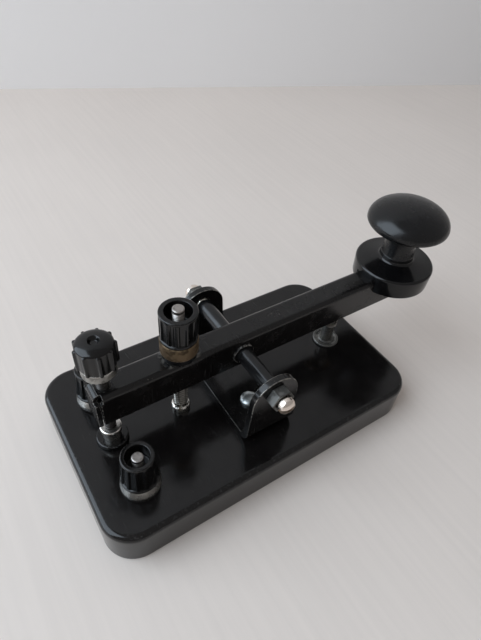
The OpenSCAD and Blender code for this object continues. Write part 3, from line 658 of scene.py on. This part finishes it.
class KeyAdjusters(bpy.types.PropertyGroup):
    """Heights and widths of the nuts, caps and rings on the screws and studs"""
    cap_low: mm_value("Domed cap from", "Height of the domed cap's lower edge", 56.2, 48, 60)
    cap_rib_top: mm_value("Rib tops", "Height at which the domed cap's ribs end", 64, 60, 66)
    cap_high: mm_value("Domed cap to", "Height of the domed cap's top", 66, 62, 70)
    ring_low: mm_value("Ring from", "Lower edge of the lock ring under the domed cap", 52.5, 45.5, 54)
    ring_radius: mm_value("Ring radius", "Radius of the lock ring under the domed cap", 5.5, 4, 7)
    collar_low: mm_value("Collar from", "Lower edge of the brass collar", 47.9, 45.5, 49)
    collar_radius: mm_value("Collar radius", "Radius of the brass collar", 6.45, 5, 7)
    nut_low: mm_value("Spring nut from", "Lower edge of the spring nut", 53.5, 50, 56)
    nut_high: mm_value("Spring nut to", "Top of the spring nut", 65, 63, 65.5)
    seat_high: mm_value("Seat height", "Top of the terminals' round seats", 18.6, 17, 19.5)
    seat_radius: mm_value("Seat radius", "Radius of the terminals' round seats", 6.9, 5.5, 7.5)
    terminal_high: mm_value("Terminal cap to", "Top of the terminals' caps", 31.5, 31, 32)
    terminal_foot: mm_value("Terminal foot", "Radius of the terminals' caps at their foot", 6.4, 5.5, 7.5)
    lock_width: mm_value("Lock nut width", "Pivot lock nuts across their flats", 7.9, 7, 10)
    lock_height: mm_value("Lock nut height", "Thickness of the pivot lock nuts", 3.9, 2, 4.5)


class KeyFinishes(bpy.types.PropertyGroup):
    """How used the key looks"""
    wear: share_value("Worn edges", "How much of each edge has lost its surface", 0.55, 0, 1)
    scratches: share_value("Scratches", "Strength of the fine scratches", 0.2, 0, 1)
    gloss: share_value("Roughness", "Roughness of the polished mouldings", 0.16, 0.03, 0.5)


class KeyStage(bpy.types.PropertyGroup):
    """Table, wall, lamp and camera"""
    floor: tint_value("Table", "Colour of the table", (0.73, 0.65, 0.59))
    wall: tint_value("Wall", "Colour of the wall", (0.98, 0.95, 0.93))
    around: FloatProperty(name="Room light", description="Strength of the light from all round", default=0.31,
        min=0.0, max=2.0)
    window: FloatProperty(name="Window", description="Power of the large soft lamp", default=42.0, min=0.0,
        max=100.0, unit="POWER")
    lens: FloatProperty(name="Lens", description="Focal length of the camera, in millimetres", default=27.861,
        min=15.0, max=100.0)


# Mouldings: darkest, lightest and worn tone, then shares of the roughness, wear and scratches that are set
MOULDED = {
    "moulded_base": ((0.0042, 0.0036, 0.0035), (0.006, 0.0052, 0.005), (0.030, 0.029, 0.028), 1.0, 0.6, 1.0),
    "moulded_knob": ((0.0028, 0.0028, 0.003), (0.0045, 0.0045, 0.005), (0.022, 0.022, 0.023), 1.6, 0.5, 0.6),
    "moulded_skirt": ((0.0024, 0.0022, 0.0024), (0.004, 0.0038, 0.004), (0.022, 0.022, 0.023), 0.85, 0.5,
        0.6),
    "moulded_caps": ((0.0026, 0.0024, 0.0025), (0.0045, 0.0042, 0.0042), (0.024, 0.023, 0.022), 1, 0.8, 0.4),
}
# Enamelled steel: darkest and lightest tone, roughness, share of the wear that is set, marks of its own,
# and the height in millimetres above which its edges are bare
ENAMELLED = {
    "enamel_bracket": ((0.004, 0.0037, 0.0036), (0.007, 0.0065, 0.0062), 0.2, 1.1, None, 34),
    "enamel_axle": ((0.004, 0.004, 0.0045), (0.007, 0.007, 0.0075), 0.2, 0.9, None, 0.0),
    "enamel_lever": ((0.0044, 0.0039, 0.0038), (0.0062, 0.0055, 0.0054), 0.22, 0.75, lever_marks, 0.0),
}
# Plated and bare metal: clean and dull tone, roughness, share that is dull, and how rubbed its edges are
METALS = {
    "nickel_plate": ((0.62, 0.60, 0.565), (0.30, 0.28, 0.25), 0.26, 0.35, 0.8),
    "zinc_plate": ((0.52, 0.56, 0.57), (0.27, 0.28, 0.27), 0.36, 0.45, 0.5),
    "rubbed_steel": ((0.86, 0.77, 0.69), (0.48, 0.42, 0.37), 0.24, 0.3, 0.8),
    "dull_zinc": ((0.18, 0.18, 0.172), (0.10, 0.098, 0.092), 0.42, 0.6, 0.7),
    "stud_steel": ((0.38, 0.355, 0.335), (0.19, 0.175, 0.16), 0.36, 0.4, 0.6),
    "dull_nickel": ((0.36, 0.35, 0.33), (0.20, 0.19, 0.175), 0.34, 0.5, 0.9),
    # Steel painted nearly black as painted shade: the gap screw under its lock ring and the bush inside the
    # cap
    "shade_painted_steel": ((0.05, 0.047, 0.045), (0.03, 0.028, 0.026), 0.4, 0.5, 0.4),
    "old_brass": ((0.20, 0.145, 0.09), (0.11, 0.08, 0.052), 0.55, 0.5, 0.35),
    "clean_brass": ((0.60, 0.44, 0.21), (0.30, 0.20, 0.10), 0.32, 0.35, 0.6),
    "spring_wire": ((0.26, 0.25, 0.23), (0.12, 0.115, 0.105), 0.22, 0.3, 0.5),
}


class KEY_OT_finishes(bpy.types.Operator):
    """Builds the materials of all the pieces"""
    bl_idname = "key.finishes"
    bl_label = "Finishes"

    def execute(self, context):
        look = context.scene.key_finishes
        scratches = look.scratches
        for name, (dark, light, worn, rough, wear, lines) in MOULDED.items():
            moulded_finish(name, (dark, light), look.gloss * rough, worn, look.wear * wear, scratches * lines)
        for name, (dark, light, rough, wear, extra, worn_from) in ENAMELLED.items():
            enamel_finish(name, (dark, light), rough, look.wear * wear, scratches, extra, worn_from)
        for name, values in METALS.items():
            metal_finish(name, *values)
        return {"FINISHED"}


class KEY_OT_base(bpy.types.Operator):
    """Builds the moulded base as rounded loops round its hollow"""
    bl_idname = "key.base"
    bl_label = "Base"

    def execute(self, context):
        settings = context.scene.key_moulding
        corner, wall, ceiling, top_round = in_mm(settings, "corner", "wall", "ceiling", "top_round")
        high = node_box("base")[1]
        foot_round, inner_round = 0.5, 0.35
        least_corner = 0.6
        steps = 14
        shape = Shape()

        def loop(inset, height, mark=0.0):
            """One rounded rectangle of points, that far inside the base's outline"""
            radius = max(corner - inset, least_corner)
            points = []
            for k, (sx, sy) in enumerate(((1, 1), (-1, 1), (-1, -1), (1, -1))):
                middle = Vector((sx * (high.x - inset - radius), sy * (high.y - inset - radius), height))
                for i in range(steps + 1):
                    points.append(middle + polar(radius, math.radians(90 * (k + i / steps))))
            return shape.ring(points, [mark] * len(points))

        def arc(inset, height, radius, start, end, steps):
            """Loops round one edge; the angle starts at straight out and turns up"""
            for i in range(steps + 1):
                angle = math.radians(start + (end - start) * i / steps)
                yield loop(inset - radius * math.cos(angle), height + radius * math.sin(angle), 1.0)

        loops = [loop(wall + 4, ceiling), loop(wall + 0.8, ceiling)]
        loops += [loop(wall + 0.2, ceiling - 0.25), loop(wall, ceiling - 0.9), loop(wall, 1.0)]
        loops += [loop(wall, inner_round, 0.6), loop(wall - inner_round, 0.0, 0.6)]
        loops.append(loop(foot_round + 0.5, 0.0))
        loops += list(arc(foot_round, foot_round, foot_round, -90, 0, 4))
        loops += [loop(0, foot_round + 0.8), loop(0, high.z - top_round - 0.7)]
        loops += list(arc(top_round, high.z - top_round, top_round, 0, 90, 8))
        loops += [loop(top_round + 0.7, high.z), loop(top_round + 4, high.z)]
        for a, b in zip(loops, loops[1:]):
            shape.join(a, b)
        shape.faces += [tuple(loops[0]), tuple(reversed(loops[-1]))]
        shaped_piece("base_moulding", shape, "moulded_base", "base")
        return {"FINISHED"}


class KEY_OT_bracket(bpy.types.Operator):
    """Softens the folded bracket and domes its two screws"""
    bl_idname = "key.bracket"
    bl_label = "Bracket"

    def execute(self, context):
        edge, = in_mm(context.scene.key_moulding, "fold_edge")
        softened_piece("bracket_sheet", "fulcrum_bracket", "enamel_bracket", edge)
        low, high = node_box("bracket_screws")
        radius = high.x
        reach = high.y - radius
        sheet = 2.5
        seat = node_box("base")[1].z + sheet
        shape = Shape()
        for side in (-1, 1):
            rows = rod_rows(SHANK_R, low.z, seat - 0.5, 0.4, 0.1)[:-1]
            rows += rounded([(SHANK_R, seat), (radius, seat, 0.15), (radius, seat + 0.7)], beside=0.1)
            rows += oval(0, seat + 0.8, radius, high.z - seat - 0.8, 4, 90, 9)
            turned(shape, rows, Matrix.Translation((0, side * reach, 0)), columns=48)
        shaped_piece("bracket_screw_heads", shape, "zinc_plate", "bracket_screws")
        return {"FINISHED"}


class KEY_OT_pivots(bpy.types.Operator):
    """Builds the pivot screws, their lock nuts, the axle and its collars"""
    bl_idname = "key.pivots"
    bl_label = "Pivots"

    def execute(self, context):
        pitch, slot = in_mm(context.scene.key_threads, "coarse_pitch", "slot")
        nut_size = in_mm(context.scene.key_adjusters, "lock_width", "lock_height")
        ear = node_box("fulcrum_bracket")[1].y
        low, high = node_box("axle")
        pivot = (low.z + high.z) / 2
        start = high.y + 0.35
        for side, word, angle in ((-1, "near", 8), (1, "far", 65)):
            node = "pivot_screw_" + word
            ends = node_box(node)
            tip = max(abs(end.y) for end in ends)
            radius = (ends[1].x - ends[0].x) / 2
            head = radius + 0.1
            neck = tip - 3.2
            rows = rod_rows(radius - 0.4, start, neck, 0.4, 0.05, pitch)[:-3]
            rows += rounded([(radius - 0.5, neck), (head, neck, 0.3), (head, tip - 1.9)], beside=0.2)
            rows += oval(0, tip - 1.8, head, 1.8, 4, 88, 10) + plain((0, tip))
            place = sideways(pivot, side)
            mesh = mesh_of(node, turned(Shape(), rows, place, columns=48, pitch=pitch, depth=0.45))
            mesh = slotted(mesh, place, tip, angle, (9, slot * 1.2, 4.6))
            place_piece("pivot_tip_" + word, mesh, "rubbed_steel", node, sharp=50)
            self.lock_nut(word, place, ear, *nut_size)
        rows = rod_rows((high.z - low.z) / 2, low.y, high.y, 0.35, 0.35)
        turned_piece("axle_bar", rows, "enamel_axle", "axle", sideways(pivot, 1), columns=56)
        shape = Shape()
        axle_r = 3.0
        low, high = node_box("axle_collars")
        inner = node_box("lever")[1].y
        for side in (-1, 1):
            rows = ring_rows(axle_r, (high.z - low.z) / 2, inner + 0.02, high.y, 0.3)
            turned(shape, rows, sideways(pivot, side), columns=56, wrap=True)
        shaped_piece("collar_rings", shape, "enamel_axle", "axle_collars")
        return {"FINISHED"}

    def lock_nut(self, word, place, ear, width, height):
        """A thin hexagon nut against the outside of an ear"""
        bore = 3.3
        corner = width / math.sqrt(3)
        end = ear + height
        rows = plain((bore, ear), (corner, ear), (corner, end), (bore, end))
        mesh = mesh_of("hexagon", turned(Shape(), rows, place, columns=6, wrap=True))
        softened_mesh("pivot_hex_" + word, mesh, "dull_zinc", 0.25, "pivot_lock_nut_" + word)


class KEY_OT_lever(bpy.types.Operator):
    """Softens the folded lever and dresses the contact that hangs inside it"""
    bl_idname = "key.lever"
    bl_label = "Lever"

    def execute(self, context):
        edge, = in_mm(context.scene.key_moulding, "fold_edge")
        softened_piece("lever_sheet", "lever", "enamel_lever", edge * 0.8)
        softened_piece("bridge_strip", "contact_bridge", "clean_brass", 0.15)
        finish_nodes("nickel_plate", "lever_contact")
        finish_nodes("zinc_plate", "knob_screw", "knob_washer")
        return {"FINISHED"}


class KEY_OT_knob(bpy.types.Operator):
    """Turns the knob and its bell-shaped skirt"""
    bl_idname = "key.knob"
    bl_label = "Knob and skirt"

    def execute(self, context):
        part = context.scene.key_knob
        low, high = node_box("knob")
        radius = (high.y - low.y) / 2
        foot, neck, rim_up, dome, seam = in_mm(part, "foot", "neck", "rim_up", "dome", "seam")
        rim = high.z - dome
        under = rim - rim_up
        waist = seam + (under - seam) * part.waist
        flare = radius * part.flare
        lip = radius * part.lip
        rows = plain((0, seam)) + oval(foot, waist, neck - foot, seam - waist, 90, 0, 14)
        rows += oval(flare, waist, neck - flare, under - waist, 4, 90, 18)
        rows += oval(radius - lip, rim, lip, -rim_up, 80, 0, 8)
        rows += oval(0, rim, radius, dome, 4, 90, 28)
        turned_piece("knob_moulding", rows, "moulded_knob", "knob", columns=128)
        self.skirt(foot, seam, *in_mm(part, "skirt_edge", "skirt_crest"))
        return {"FINISHED"}

    def skirt(self, foot, seam, edge, crest):
        """The skirt from its lower edge to the seam at its hub, with the groove that straddles the lever"""
        low, high = node_box("knob_skirt")
        radius = (high.y - low.y) / 2
        low_r = radius - 0.3
        wall = low_r - 2.4
        web = crest - 2.2
        brim = 1.2
        lever = node_box("lever")[1]
        rows = rounded([
            (BORE_R, lever.z), (foot, lever.z, 0.1), (foot, web, 0.1), (wall, web, 0.8), (wall, edge, 0.4),
            (low_r, edge, 0.6), (radius, crest - brim, 0.0),
        ], beside=0.25)
        rows += oval(radius - brim, crest - brim, brim, brim, 8, 90, 8)
        rows += rounded([
            (radius - 1.6, crest + 0.02), (foot + 0.1, crest + 1.5, 2.2), (foot, seam, 0.1), (BORE_R, seam),
        ], beside=0.3)
        place = upright("knob_skirt")
        mesh = mesh_of("knob_skirt", turned(Shape(), rows, place, columns=128, wrap=True))
        groove = Matrix.Translation(place.translation + Vector((0, 0, (lever.z + edge) / 2 - 1)))
        size = (2 * radius + 4, 2 * lever.y + 0.4, lever.z - edge + 2)
        place_piece("skirt_moulding", cut_away(mesh, box_shape(size, groove)), "moulded_skirt", "knob_skirt")


class KEY_OT_gap(bpy.types.Operator):
    """Builds the gap adjuster: domed ribbed cap, lock ring, threaded screw and bush"""
    bl_idname = "key.gap"
    bl_label = "Gap adjuster"

    def execute(self, context):
        threads = context.scene.key_threads
        sizes = context.scene.key_adjusters
        place = upright("gap_cap")
        low, high, rib_top = in_mm(sizes, "cap_low", "cap_high", "cap_rib_top")
        radius, rib_out, flat = 5.7, 0.75, 1.8
        blind = node_box("gap_screw")[1].z + 0.6
        rows = plain((0, blind), (BORE_R, blind), (BORE_R, low + 0.3))
        side = [(BORE_R + 0.2, low), (radius, low, 0.3, 1.0), (radius, rib_top, 0.0, 1.0)]
        rows += rounded(side, beside=0.2)
        rows += [(radius, rib_top + 0.25, 0.5, 0.85, 0.0), (radius, rib_top + 0.45, 0.3, 0.0, 0.0)]
        dimple = 1.7
        end = math.degrees(math.acos((dimple + 0.3) / radius))
        rows += oval(0, high - flat, radius, flat, 6, end, 12)
        lip = rows[-1][1]
        rows += rounded([
            (dimple + 0.15, lip + 0.02), (dimple, lip - 0.1, 0.1), (dimple * 0.6, lip - 1.1, 0.3),
            (0, lip - 1.2),
        ], beside=0.1)
        first_rib, rib_share = 21, 0.24
        turned_piece("gap_cap_moulding", rows, "moulded_caps", "gap_cap",
            place @ Matrix.Rotation(math.radians(first_rib), 4, "Z"),
            columns=rib_columns(threads.dome_ribs, rib_share), rib_out=rib_out)
        ring_r, ring_low = in_mm(sizes, "ring_radius", "ring_low")
        rows = ring_rows(BORE_R, ring_r, ring_low, low - 0.25, 0.4)
        turned_piece("gap_nut_ring", rows, "dull_nickel", "gap_lock_nut", place, wrap=True)
        pitch, = in_mm(threads, "fine_pitch")
        rows = rod_rows(*standing("gap_screw"), 0.6, 0.3, pitch)
        # The gap screw's steel is painted nearly black, as painted shade under the lock ring
        turned_piece("gap_thread", rows, "shade_painted_steel", "gap_screw", place, columns=32, pitch=pitch)
        finish_nodes("shade_painted_steel", "gap_bush")
        return {"FINISHED"}


def hollow_nut(name, bush_name, node, bush_node, low, top, foot):
    """A ribbed, hollow moulded nut with a smooth top ring and a wider foot, and the metal bush inside it"""
    threads = bpy.context.scene.key_threads
    rib_out, = in_mm(threads, "rib_out")
    outer = standing(node)[0] - 0.1
    large = outer > 6
    core = outer - rib_out
    low_core = foot - rib_out
    hollow = outer - (1.8 if large else 1.5)
    floor = top - (7.0 if large else 6.0)
    ring_h = 1.1
    hole, bush, flange = 2.2, 3.1, 4.1
    bush_top = floor - 0.6
    rows = rounded([
        (flange + 0.05, low), (foot, low, 0.3), (foot, low + ring_h - 0.3, 0.3), (low_core, low + ring_h),
        (low_core, low + ring_h + 0.5, 0.0, 1.0), (core, top - ring_h - 0.2, 0.0, 1.0),
        (core, top - ring_h, 0.0, 1.0), (outer, top - ring_h + 0.15, 0.12), (outer, top, 0.5),
        (hollow, top, 0.25), (hollow - 0.05, floor, 0.3), (hole, floor), (hole, bush_top),
        (bush + 0.05, bush_top), (bush + 0.05, low + 0.85), (flange + 0.05, low + 0.85),
    ], wrap=True, beside=0.2)
    share = 1.1 * threads.cap_ribs / (math.tau * core)
    turned_piece(name, rows, "moulded_caps", node, columns=rib_columns(threads.cap_ribs, share), wrap=True,
        rib_out=rib_out)
    rows = rounded([
        (BORE_R, low), (flange, low, 0.1), (flange, low + 0.8, 0.1), (bush, low + 0.8),
        (bush, bush_top - 0.05, 0.1), (BORE_R, bush_top - 0.05),
    ], wrap=True, beside=0.1)
    turned_piece(bush_name, rows, "old_brass", bush_node, upright(node), columns=48, wrap=True)


class KEY_OT_spring(bpy.types.Operator):
    """Builds the spring adjuster: ribbed nut, washer, brass collar, stud, spring and slotted anchor"""
    bl_idname = "key.spring"
    bl_label = "Spring adjuster"

    def execute(self, context):
        pitch, slot = in_mm(context.scene.key_threads, "fine_pitch", "slot")
        sizes = context.scene.key_adjusters
        nut_low, nut_high = in_mm(sizes, "nut_low", "nut_high")
        collar_low, collar_r = in_mm(sizes, "collar_low", "collar_radius")
        nut_foot, washer_r = 6.3, 5.9
        hollow_nut("spring_nut_moulding", "spring_bush", "spring_nut", "spring_nut_bush",
            nut_low, nut_high, nut_foot)
        place = upright("spring_stud")
        rows = ring_rows(BORE_R, washer_r, node_box("lever")[1].z, collar_low - 0.05, 0.4)
        turned_piece("collar_washer", rows, "enamel_axle", "spring_collar", place, wrap=True)
        rows = ring_rows(BORE_R, collar_r, collar_low, nut_low - 0.1, 0.35)
        turned_piece("collar_brass", rows, "old_brass", "spring_collar", place, wrap=True)
        radius, low, high = standing("spring_stud")
        shoulder = node_box("return_spring")[1].z + 0.45
        rows = rod_rows(SPRING_CORE_R, low, shoulder - 0.1, 0.4, 0.05)[:-2] + plain((SPRING_CORE_R, shoulder))
        rows += rod_rows(radius, shoulder, high, 0.2, 0.45, pitch)[1:]
        turned_piece("spring_thread", rows, "stud_steel", "spring_stud", place, columns=32, pitch=pitch)
        self.anchor(slot)
        self.wire()
        return {"FINISHED"}

    def anchor(self, slot):
        """Slotted head under the spring, with the neck that the lowest turns grip"""
        radius, low, high = standing("spring_anchor")
        place = upright("spring_anchor")
        head_low = node_box("base")[1].z
        head_top = head_low + 2.8
        slot_angle = 63
        rows = plain((0, head_low - 0.4), (SHANK_R, head_low - 0.4))
        rows += rounded([(SHANK_R, head_low), (radius, head_low, 0.2), (radius, head_top, 0.9),
            (0, head_top + 0.15)])
        mesh = mesh_of("anchor", turned(Shape(), rows, place, columns=56))
        mesh = slotted(mesh, place, head_top, slot_angle, (10, slot, 3.2))
        neck = Shape()
        turned(neck, rod_rows(SPRING_CORE_R, head_top - 1.6, high, 0.1, 0.4), place, columns=32)
        turned(neck, rod_rows(SHANK_R, low, head_low - 0.3, 0.4, 0.1), place, columns=32)
        work = bmesh.new()
        work.from_mesh(mesh)
        work.from_mesh(mesh_of("anchor_neck", neck))
        work.to_mesh(mesh)
        work.free()
        place_piece("anchor_head", mesh, "nickel_plate", "spring_anchor")

    def wire(self):
        """The spring itself: one round wire along a close helix"""
        low, high = node_box("return_spring")
        middle = upright("return_spring").translation
        wire_r, pitch = 0.48, 1.15
        turn_steps, sides = 28, 10
        radius = (high.y - low.y) / 2 - wire_r
        start, end = low.z + wire_r, high.z - wire_r
        turns = (end - start) / pitch
        steps = round(turns * turn_steps)
        shape = Shape()
        rings = [shape.ring([middle + polar(radius, 0, start)], [0.0])]
        for i in range(steps + 1):
            angle = math.tau * turns * i / steps
            height = start + (end - start) * i / steps
            points = []
            for k in range(sides):
                spoke = math.tau * k / sides
                points.append(middle + polar(radius + wire_r * math.cos(spoke), angle,
                    height + wire_r * math.sin(spoke)))
            rings.append(shape.ring(points, [0.0] * sides))
        rings.append(shape.ring([middle + polar(radius, math.tau * turns, end)], [0.0]))
        for a, b in zip(rings, rings[1:]):
            shape.join(a, b)
        mesh = mesh_of("spring_coil", shape)
        coil = place_piece("spring_coil", mesh, "spring_wire", "return_spring", rides=False)
        ends = [tuple((middle + Vector((0, 0, z))) * MM) for z in (low.z, high.z)]
        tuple(ends[0])
        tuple(ends[1])
        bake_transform(coil)


class KEY_OT_contacts(bpy.types.Operator):
    """Builds the rear and front contact posts with their ring and foot"""
    bl_idname = "key.contacts"
    bl_label = "Contacts"

    def execute(self, context):
        floor = node_box("base")[1].z
        disc, low, high = standing("rear_contact_post")
        post_r, disc_t = 3.2, 2.1
        rows = rod_rows(SHANK_R, low, floor - 0.2, 0.4, 0.1)[:-2]
        rows += rounded([(SHANK_R, floor), (post_r, floor), (post_r, high - disc_t, 0.1),
            (disc, high - disc_t, 0.3), (disc, high, 0.45), (0, high)], beside=0.2)
        turned_piece("rear_post_turning", rows, "nickel_plate", "rear_contact_post")
        rows = ring_rows(post_r + 0.05, *standing("rear_post_ring"), 0.5)
        turned_piece("post_ring_moulding", rows, "moulded_caps", "rear_post_ring", wrap=True)
        head, low, high = standing("front_contact_post")
        foot_r, foot_low, foot_top = standing("front_post_foot")
        post_r, head_t = 2.4, 0.9
        rows = rod_rows(SHANK_R, low, floor - 0.2, 0.4, 0.1)[:-2]
        rows += rounded([(SHANK_R, foot_top), (post_r, foot_top), (post_r, high - head_t, 0.1),
            (head, high - head_t, 0.15), (head, high, 0.2), (0, high)], beside=0.15)
        turned_piece("front_post_turning", rows, "dull_nickel", "front_contact_post")
        dish = foot_top - 0.35
        rows = rounded([
            (BORE_R, foot_low), (foot_r, foot_low, 0.15), (foot_r, foot_top, 0.3),
            (foot_r - 1.0, foot_top, 0.3), (foot_r - 1.5, dish, 0.2), (3.1, dish, 0.2), (2.75, foot_top, 0.1),
            (BORE_R, foot_top),
        ], wrap=True, beside=0.1)
        turned_piece("front_foot_turning", rows, "dull_zinc", "front_post_foot", wrap=True)
        return {"FINISHED"}


class KEY_OT_terminals(bpy.types.Operator):
    """Builds the two terminals: studs, round seats, bushes and ribbed caps"""
    bl_idname = "key.terminals"
    bl_label = "Terminals"

    def execute(self, context):
        pitch, = in_mm(context.scene.key_threads, "fine_pitch")
        sizes = context.scene.key_adjusters
        seat_high, seat_r, cap_top, cap_foot = in_mm(
            sizes, "seat_high", "seat_radius", "terminal_high", "terminal_foot")
        seat_low = node_box("base")[1].z
        studs, seats = Shape(), Shape()
        for word in ("near", "far"):
            place = upright("terminal_cap_" + word)
            rows = rod_rows(*standing("terminal_studs"), 0.4, 0.45, pitch)
            turned(studs, rows, place, columns=32, pitch=pitch)
            rows = rounded([(BORE_R, seat_low), (seat_r, seat_low, 0.15), (seat_r, seat_low + 0.6, 0.3),
                (seat_r - 1.2, seat_high, 0.4), (BORE_R, seat_high)], wrap=True, beside=0.2)
            turned(seats, rows, place, wrap=True)
            hollow_nut("terminal_moulding_" + word, "terminal_sleeve_" + word, "terminal_cap_" + word,
                "terminal_bush_" + word, seat_high + 0.15, cap_top, cap_foot)
        shaped_piece("terminal_threads", studs, "stud_steel", "terminal_studs")
        shaped_piece("seat_rings", seats, "nickel_plate", "terminal_seat_nuts")
        return {"FINISHED"}


class KEY_OT_underside(bpy.types.Operator):
    """Dresses the nuts and brass straps in the hollow of the base"""
    bl_idname = "key.underside"
    bl_label = "Underside"

    def execute(self, context):
        softened_piece("under_hexes", "underside_nuts", "clean_brass", 0.18)
        softened_piece("strap_sheet_front", "strap_front", "clean_brass", 0.12)
        softened_piece("strap_sheet_bracket", "strap_bracket", "clean_brass", 0.12)
        return {"FINISHED"}


class KEY_OT_stage(bpy.types.Operator):
    """Sets up the table, the wall, the lamp, the room's own light and the camera"""
    bl_idname = "key.stage"
    bl_label = "Stage"

    def execute(self, context):
        look = context.scene.key_stage
        self.table(tuple(look.floor))
        self.wall(tuple(look.wall))
        self.light(context, look)
        self.camera(context, look.lens)
        context.scene.view_settings.view_transform = "Standard"
        return {"FINISHED"}

    def sheet(self, name, corners, material):
        """One flat face through four corners in millimetres, as part of the stage"""
        mesh = bpy.data.meshes.new(name)
        mesh.from_pydata([Vector(corner) * MM for corner in corners], [], [(0, 1, 2, 3)])
        mesh.materials.append(material)
        linked(name, mesh)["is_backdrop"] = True

    def table(self, tone):
        f = Finish("table_top")
        streaks = f.noise(2.5, 4.0, (1, 30, 1), -35)
        clouds = f.noise(120, 3.0)
        share = f.math("ADD", f.times(streaks, 0.5), f.times(clouds, 0.5))
        tones = [tuple(c * by for c in tone) for by in (0.97, 1.03)]
        f.finish(f.mix(f.step(share, 0.3, 0.7), *tones), 0.5, None, [(streaks, 0.04, 0.05)])
        reach = 3000
        corners = [(-reach, -reach, 0), (reach, -reach, 0), (reach, reach, 0), (-reach, reach, 0)]
        self.sheet("table", corners, f.material)

    def wall(self, tone):
        """The wall is left out for camera rays that come from behind it, so that it hides nothing"""
        f = Finish("plaster")
        clouds = f.noise(200, 4.0)
        # Painted shade: the wall's colour grows darker along X, away from the lamp, standing in for the
        # lamp's falloff
        painted_falloff = f.step(f.along("X"), 50, 700, 0.0, 0.75)
        colour = f.mix(f.most(painted_falloff, f.times(clouds, 0.1)), tone, tuple(c * 0.68 for c in tone))
        f.finish(colour, 0.8, None, [(f.noise(6, 4.0), 0.1, 0.3)])
        clear = f.new("ShaderNodeBsdfTransparent")
        both = f.new("ShaderNodeMixShader")
        path = f.new("ShaderNodeLightPath")
        back = f.new("ShaderNodeNewGeometry")
        f.put(both.inputs[0], f.times(path.outputs["Is Camera Ray"], back.outputs["Backfacing"]))
        f.put(both.inputs[1], f.shader.outputs[0])
        f.put(both.inputs[2], clear.outputs[0])
        f.put(f.tree.nodes["Material Output"].inputs["Surface"], both.outputs[0])
        along = Vector((0.937, -0.350, 0.0)).normalized()
        foot = Vector((215, 286.5, 0))
        up = Vector((0, 0, 1300))
        left, right = foot - along * 650, foot + along * 1800
        self.sheet("wall", [left, right, right + up, left + up], f.material)

    def light(self, context, look):
        """An even light from all round and one large soft lamp, as from a window"""
        world = bpy.data.worlds.new("room")
        context.scene.world = world
        world.use_nodes = True
        background = world.node_tree.nodes["Background"]
        background.inputs["Color"].default_value = (1.0, 0.975, 0.97, 1.0)
        background.inputs["Strength"].default_value = look.around
        lamp = bpy.data.lights.new("window", "AREA")
        lamp.shape = "RECTANGLE"
        lamp.size = lamp.size_y = 1.9
        lamp.energy = look.window
        lamp.color = (0.76, 0.88, 1.0)
        obj = linked("window", lamp)
        obj.visible_camera = False
        place = Vector((-1.2, 0.45, 1.0))
        obj.matrix_world = Matrix.Translation(place) @ place.to_track_quat("Z", "Y").to_matrix().to_4x4()

    def camera(self, context, lens):
        """The camera stands where the photograph was taken from and leans as it did"""
        data = bpy.data.cameras.new("camera")
        data.sensor_fit = "AUTO"
        data.sensor_width = 36.0
        data.lens = lens
        data.dof.use_dof = False
        data.clip_start = 0.01
        camera = linked("camera", data)
        eye = Vector((-71.6407, -97.6196, 171.0586))
        aim = Vector((30.905, 39.523, 0.0))
        roll = math.radians(5.682)
        ahead = (aim - eye).normalized()
        level = ahead.cross(Vector((0, 0, 1))).normalized()
        upward = level.cross(ahead)
        right = level * math.cos(roll) + upward * math.sin(roll)
        up = upward * math.cos(roll) - level * math.sin(roll)
        turn = Matrix((right, up, -ahead)).transposed().to_4x4()
        camera.matrix_world = Matrix.Translation(eye * MM) @ turn
        context.scene.camera = camera


class KEY_PT_panel(bpy.types.Panel):
    """Buttons and sizes of the telegraph key"""
    bl_label = "Telegraph key"
    bl_space_type = "VIEW_3D"
    bl_region_type = "UI"
    bl_category = "Key"

    def draw(self, context):
        for operator in OPERATORS:
            self.layout.operator(operator.bl_idname)
        for name, group in GROUPS.items():
            box = self.layout.box()
            for prop in group.__annotations__:
                box.prop(getattr(context.scene, name), prop)


GROUPS = {
    "key_moulding": KeyMoulding,
    "key_knob": KeyKnob,
    "key_threads": KeyThreads,
    "key_adjusters": KeyAdjusters,
    "key_finishes": KeyFinishes,
    "key_stage": KeyStage,
}
OPERATORS = [
    KEY_OT_stage, KEY_OT_finishes, KEY_OT_base, KEY_OT_bracket, KEY_OT_pivots, KEY_OT_lever, KEY_OT_knob,
    KEY_OT_gap, KEY_OT_spring, KEY_OT_contacts, KEY_OT_terminals, KEY_OT_underside,
]


def register():
    for group in GROUPS.values():
        bpy.utils.register_class(group)
    for operator in OPERATORS:
        bpy.utils.register_class(operator)
    bpy.utils.register_class(KEY_PT_panel)
    for name, group in GROUPS.items():
        setattr(bpy.types.Scene, name, PointerProperty(type=group))


def unregister():
    for name in GROUPS:
        delattr(bpy.types.Scene, name)
    bpy.utils.unregister_class(KEY_PT_panel)
    for operator in reversed(OPERATORS):
        bpy.utils.unregister_class(operator)
    for group in reversed(list(GROUPS.values())):
        bpy.utils.unregister_class(group)


def main():
    """Runs every operator in order, then works out the sizes before and after without keeping them"""
    register()
    for operator in OPERATORS:
        name = operator.bl_idname.split(".")[1]
        result = getattr(bpy.ops.key, name)()
        if result != {"FINISHED"}:
            raise RuntimeError(name + " did not finish")
    for word, box in (("cad", CAD_BOX), ("visual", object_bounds())):
        [[float(number) for number in corner] for corner in box]


if __name__ == "__main__":
    main()
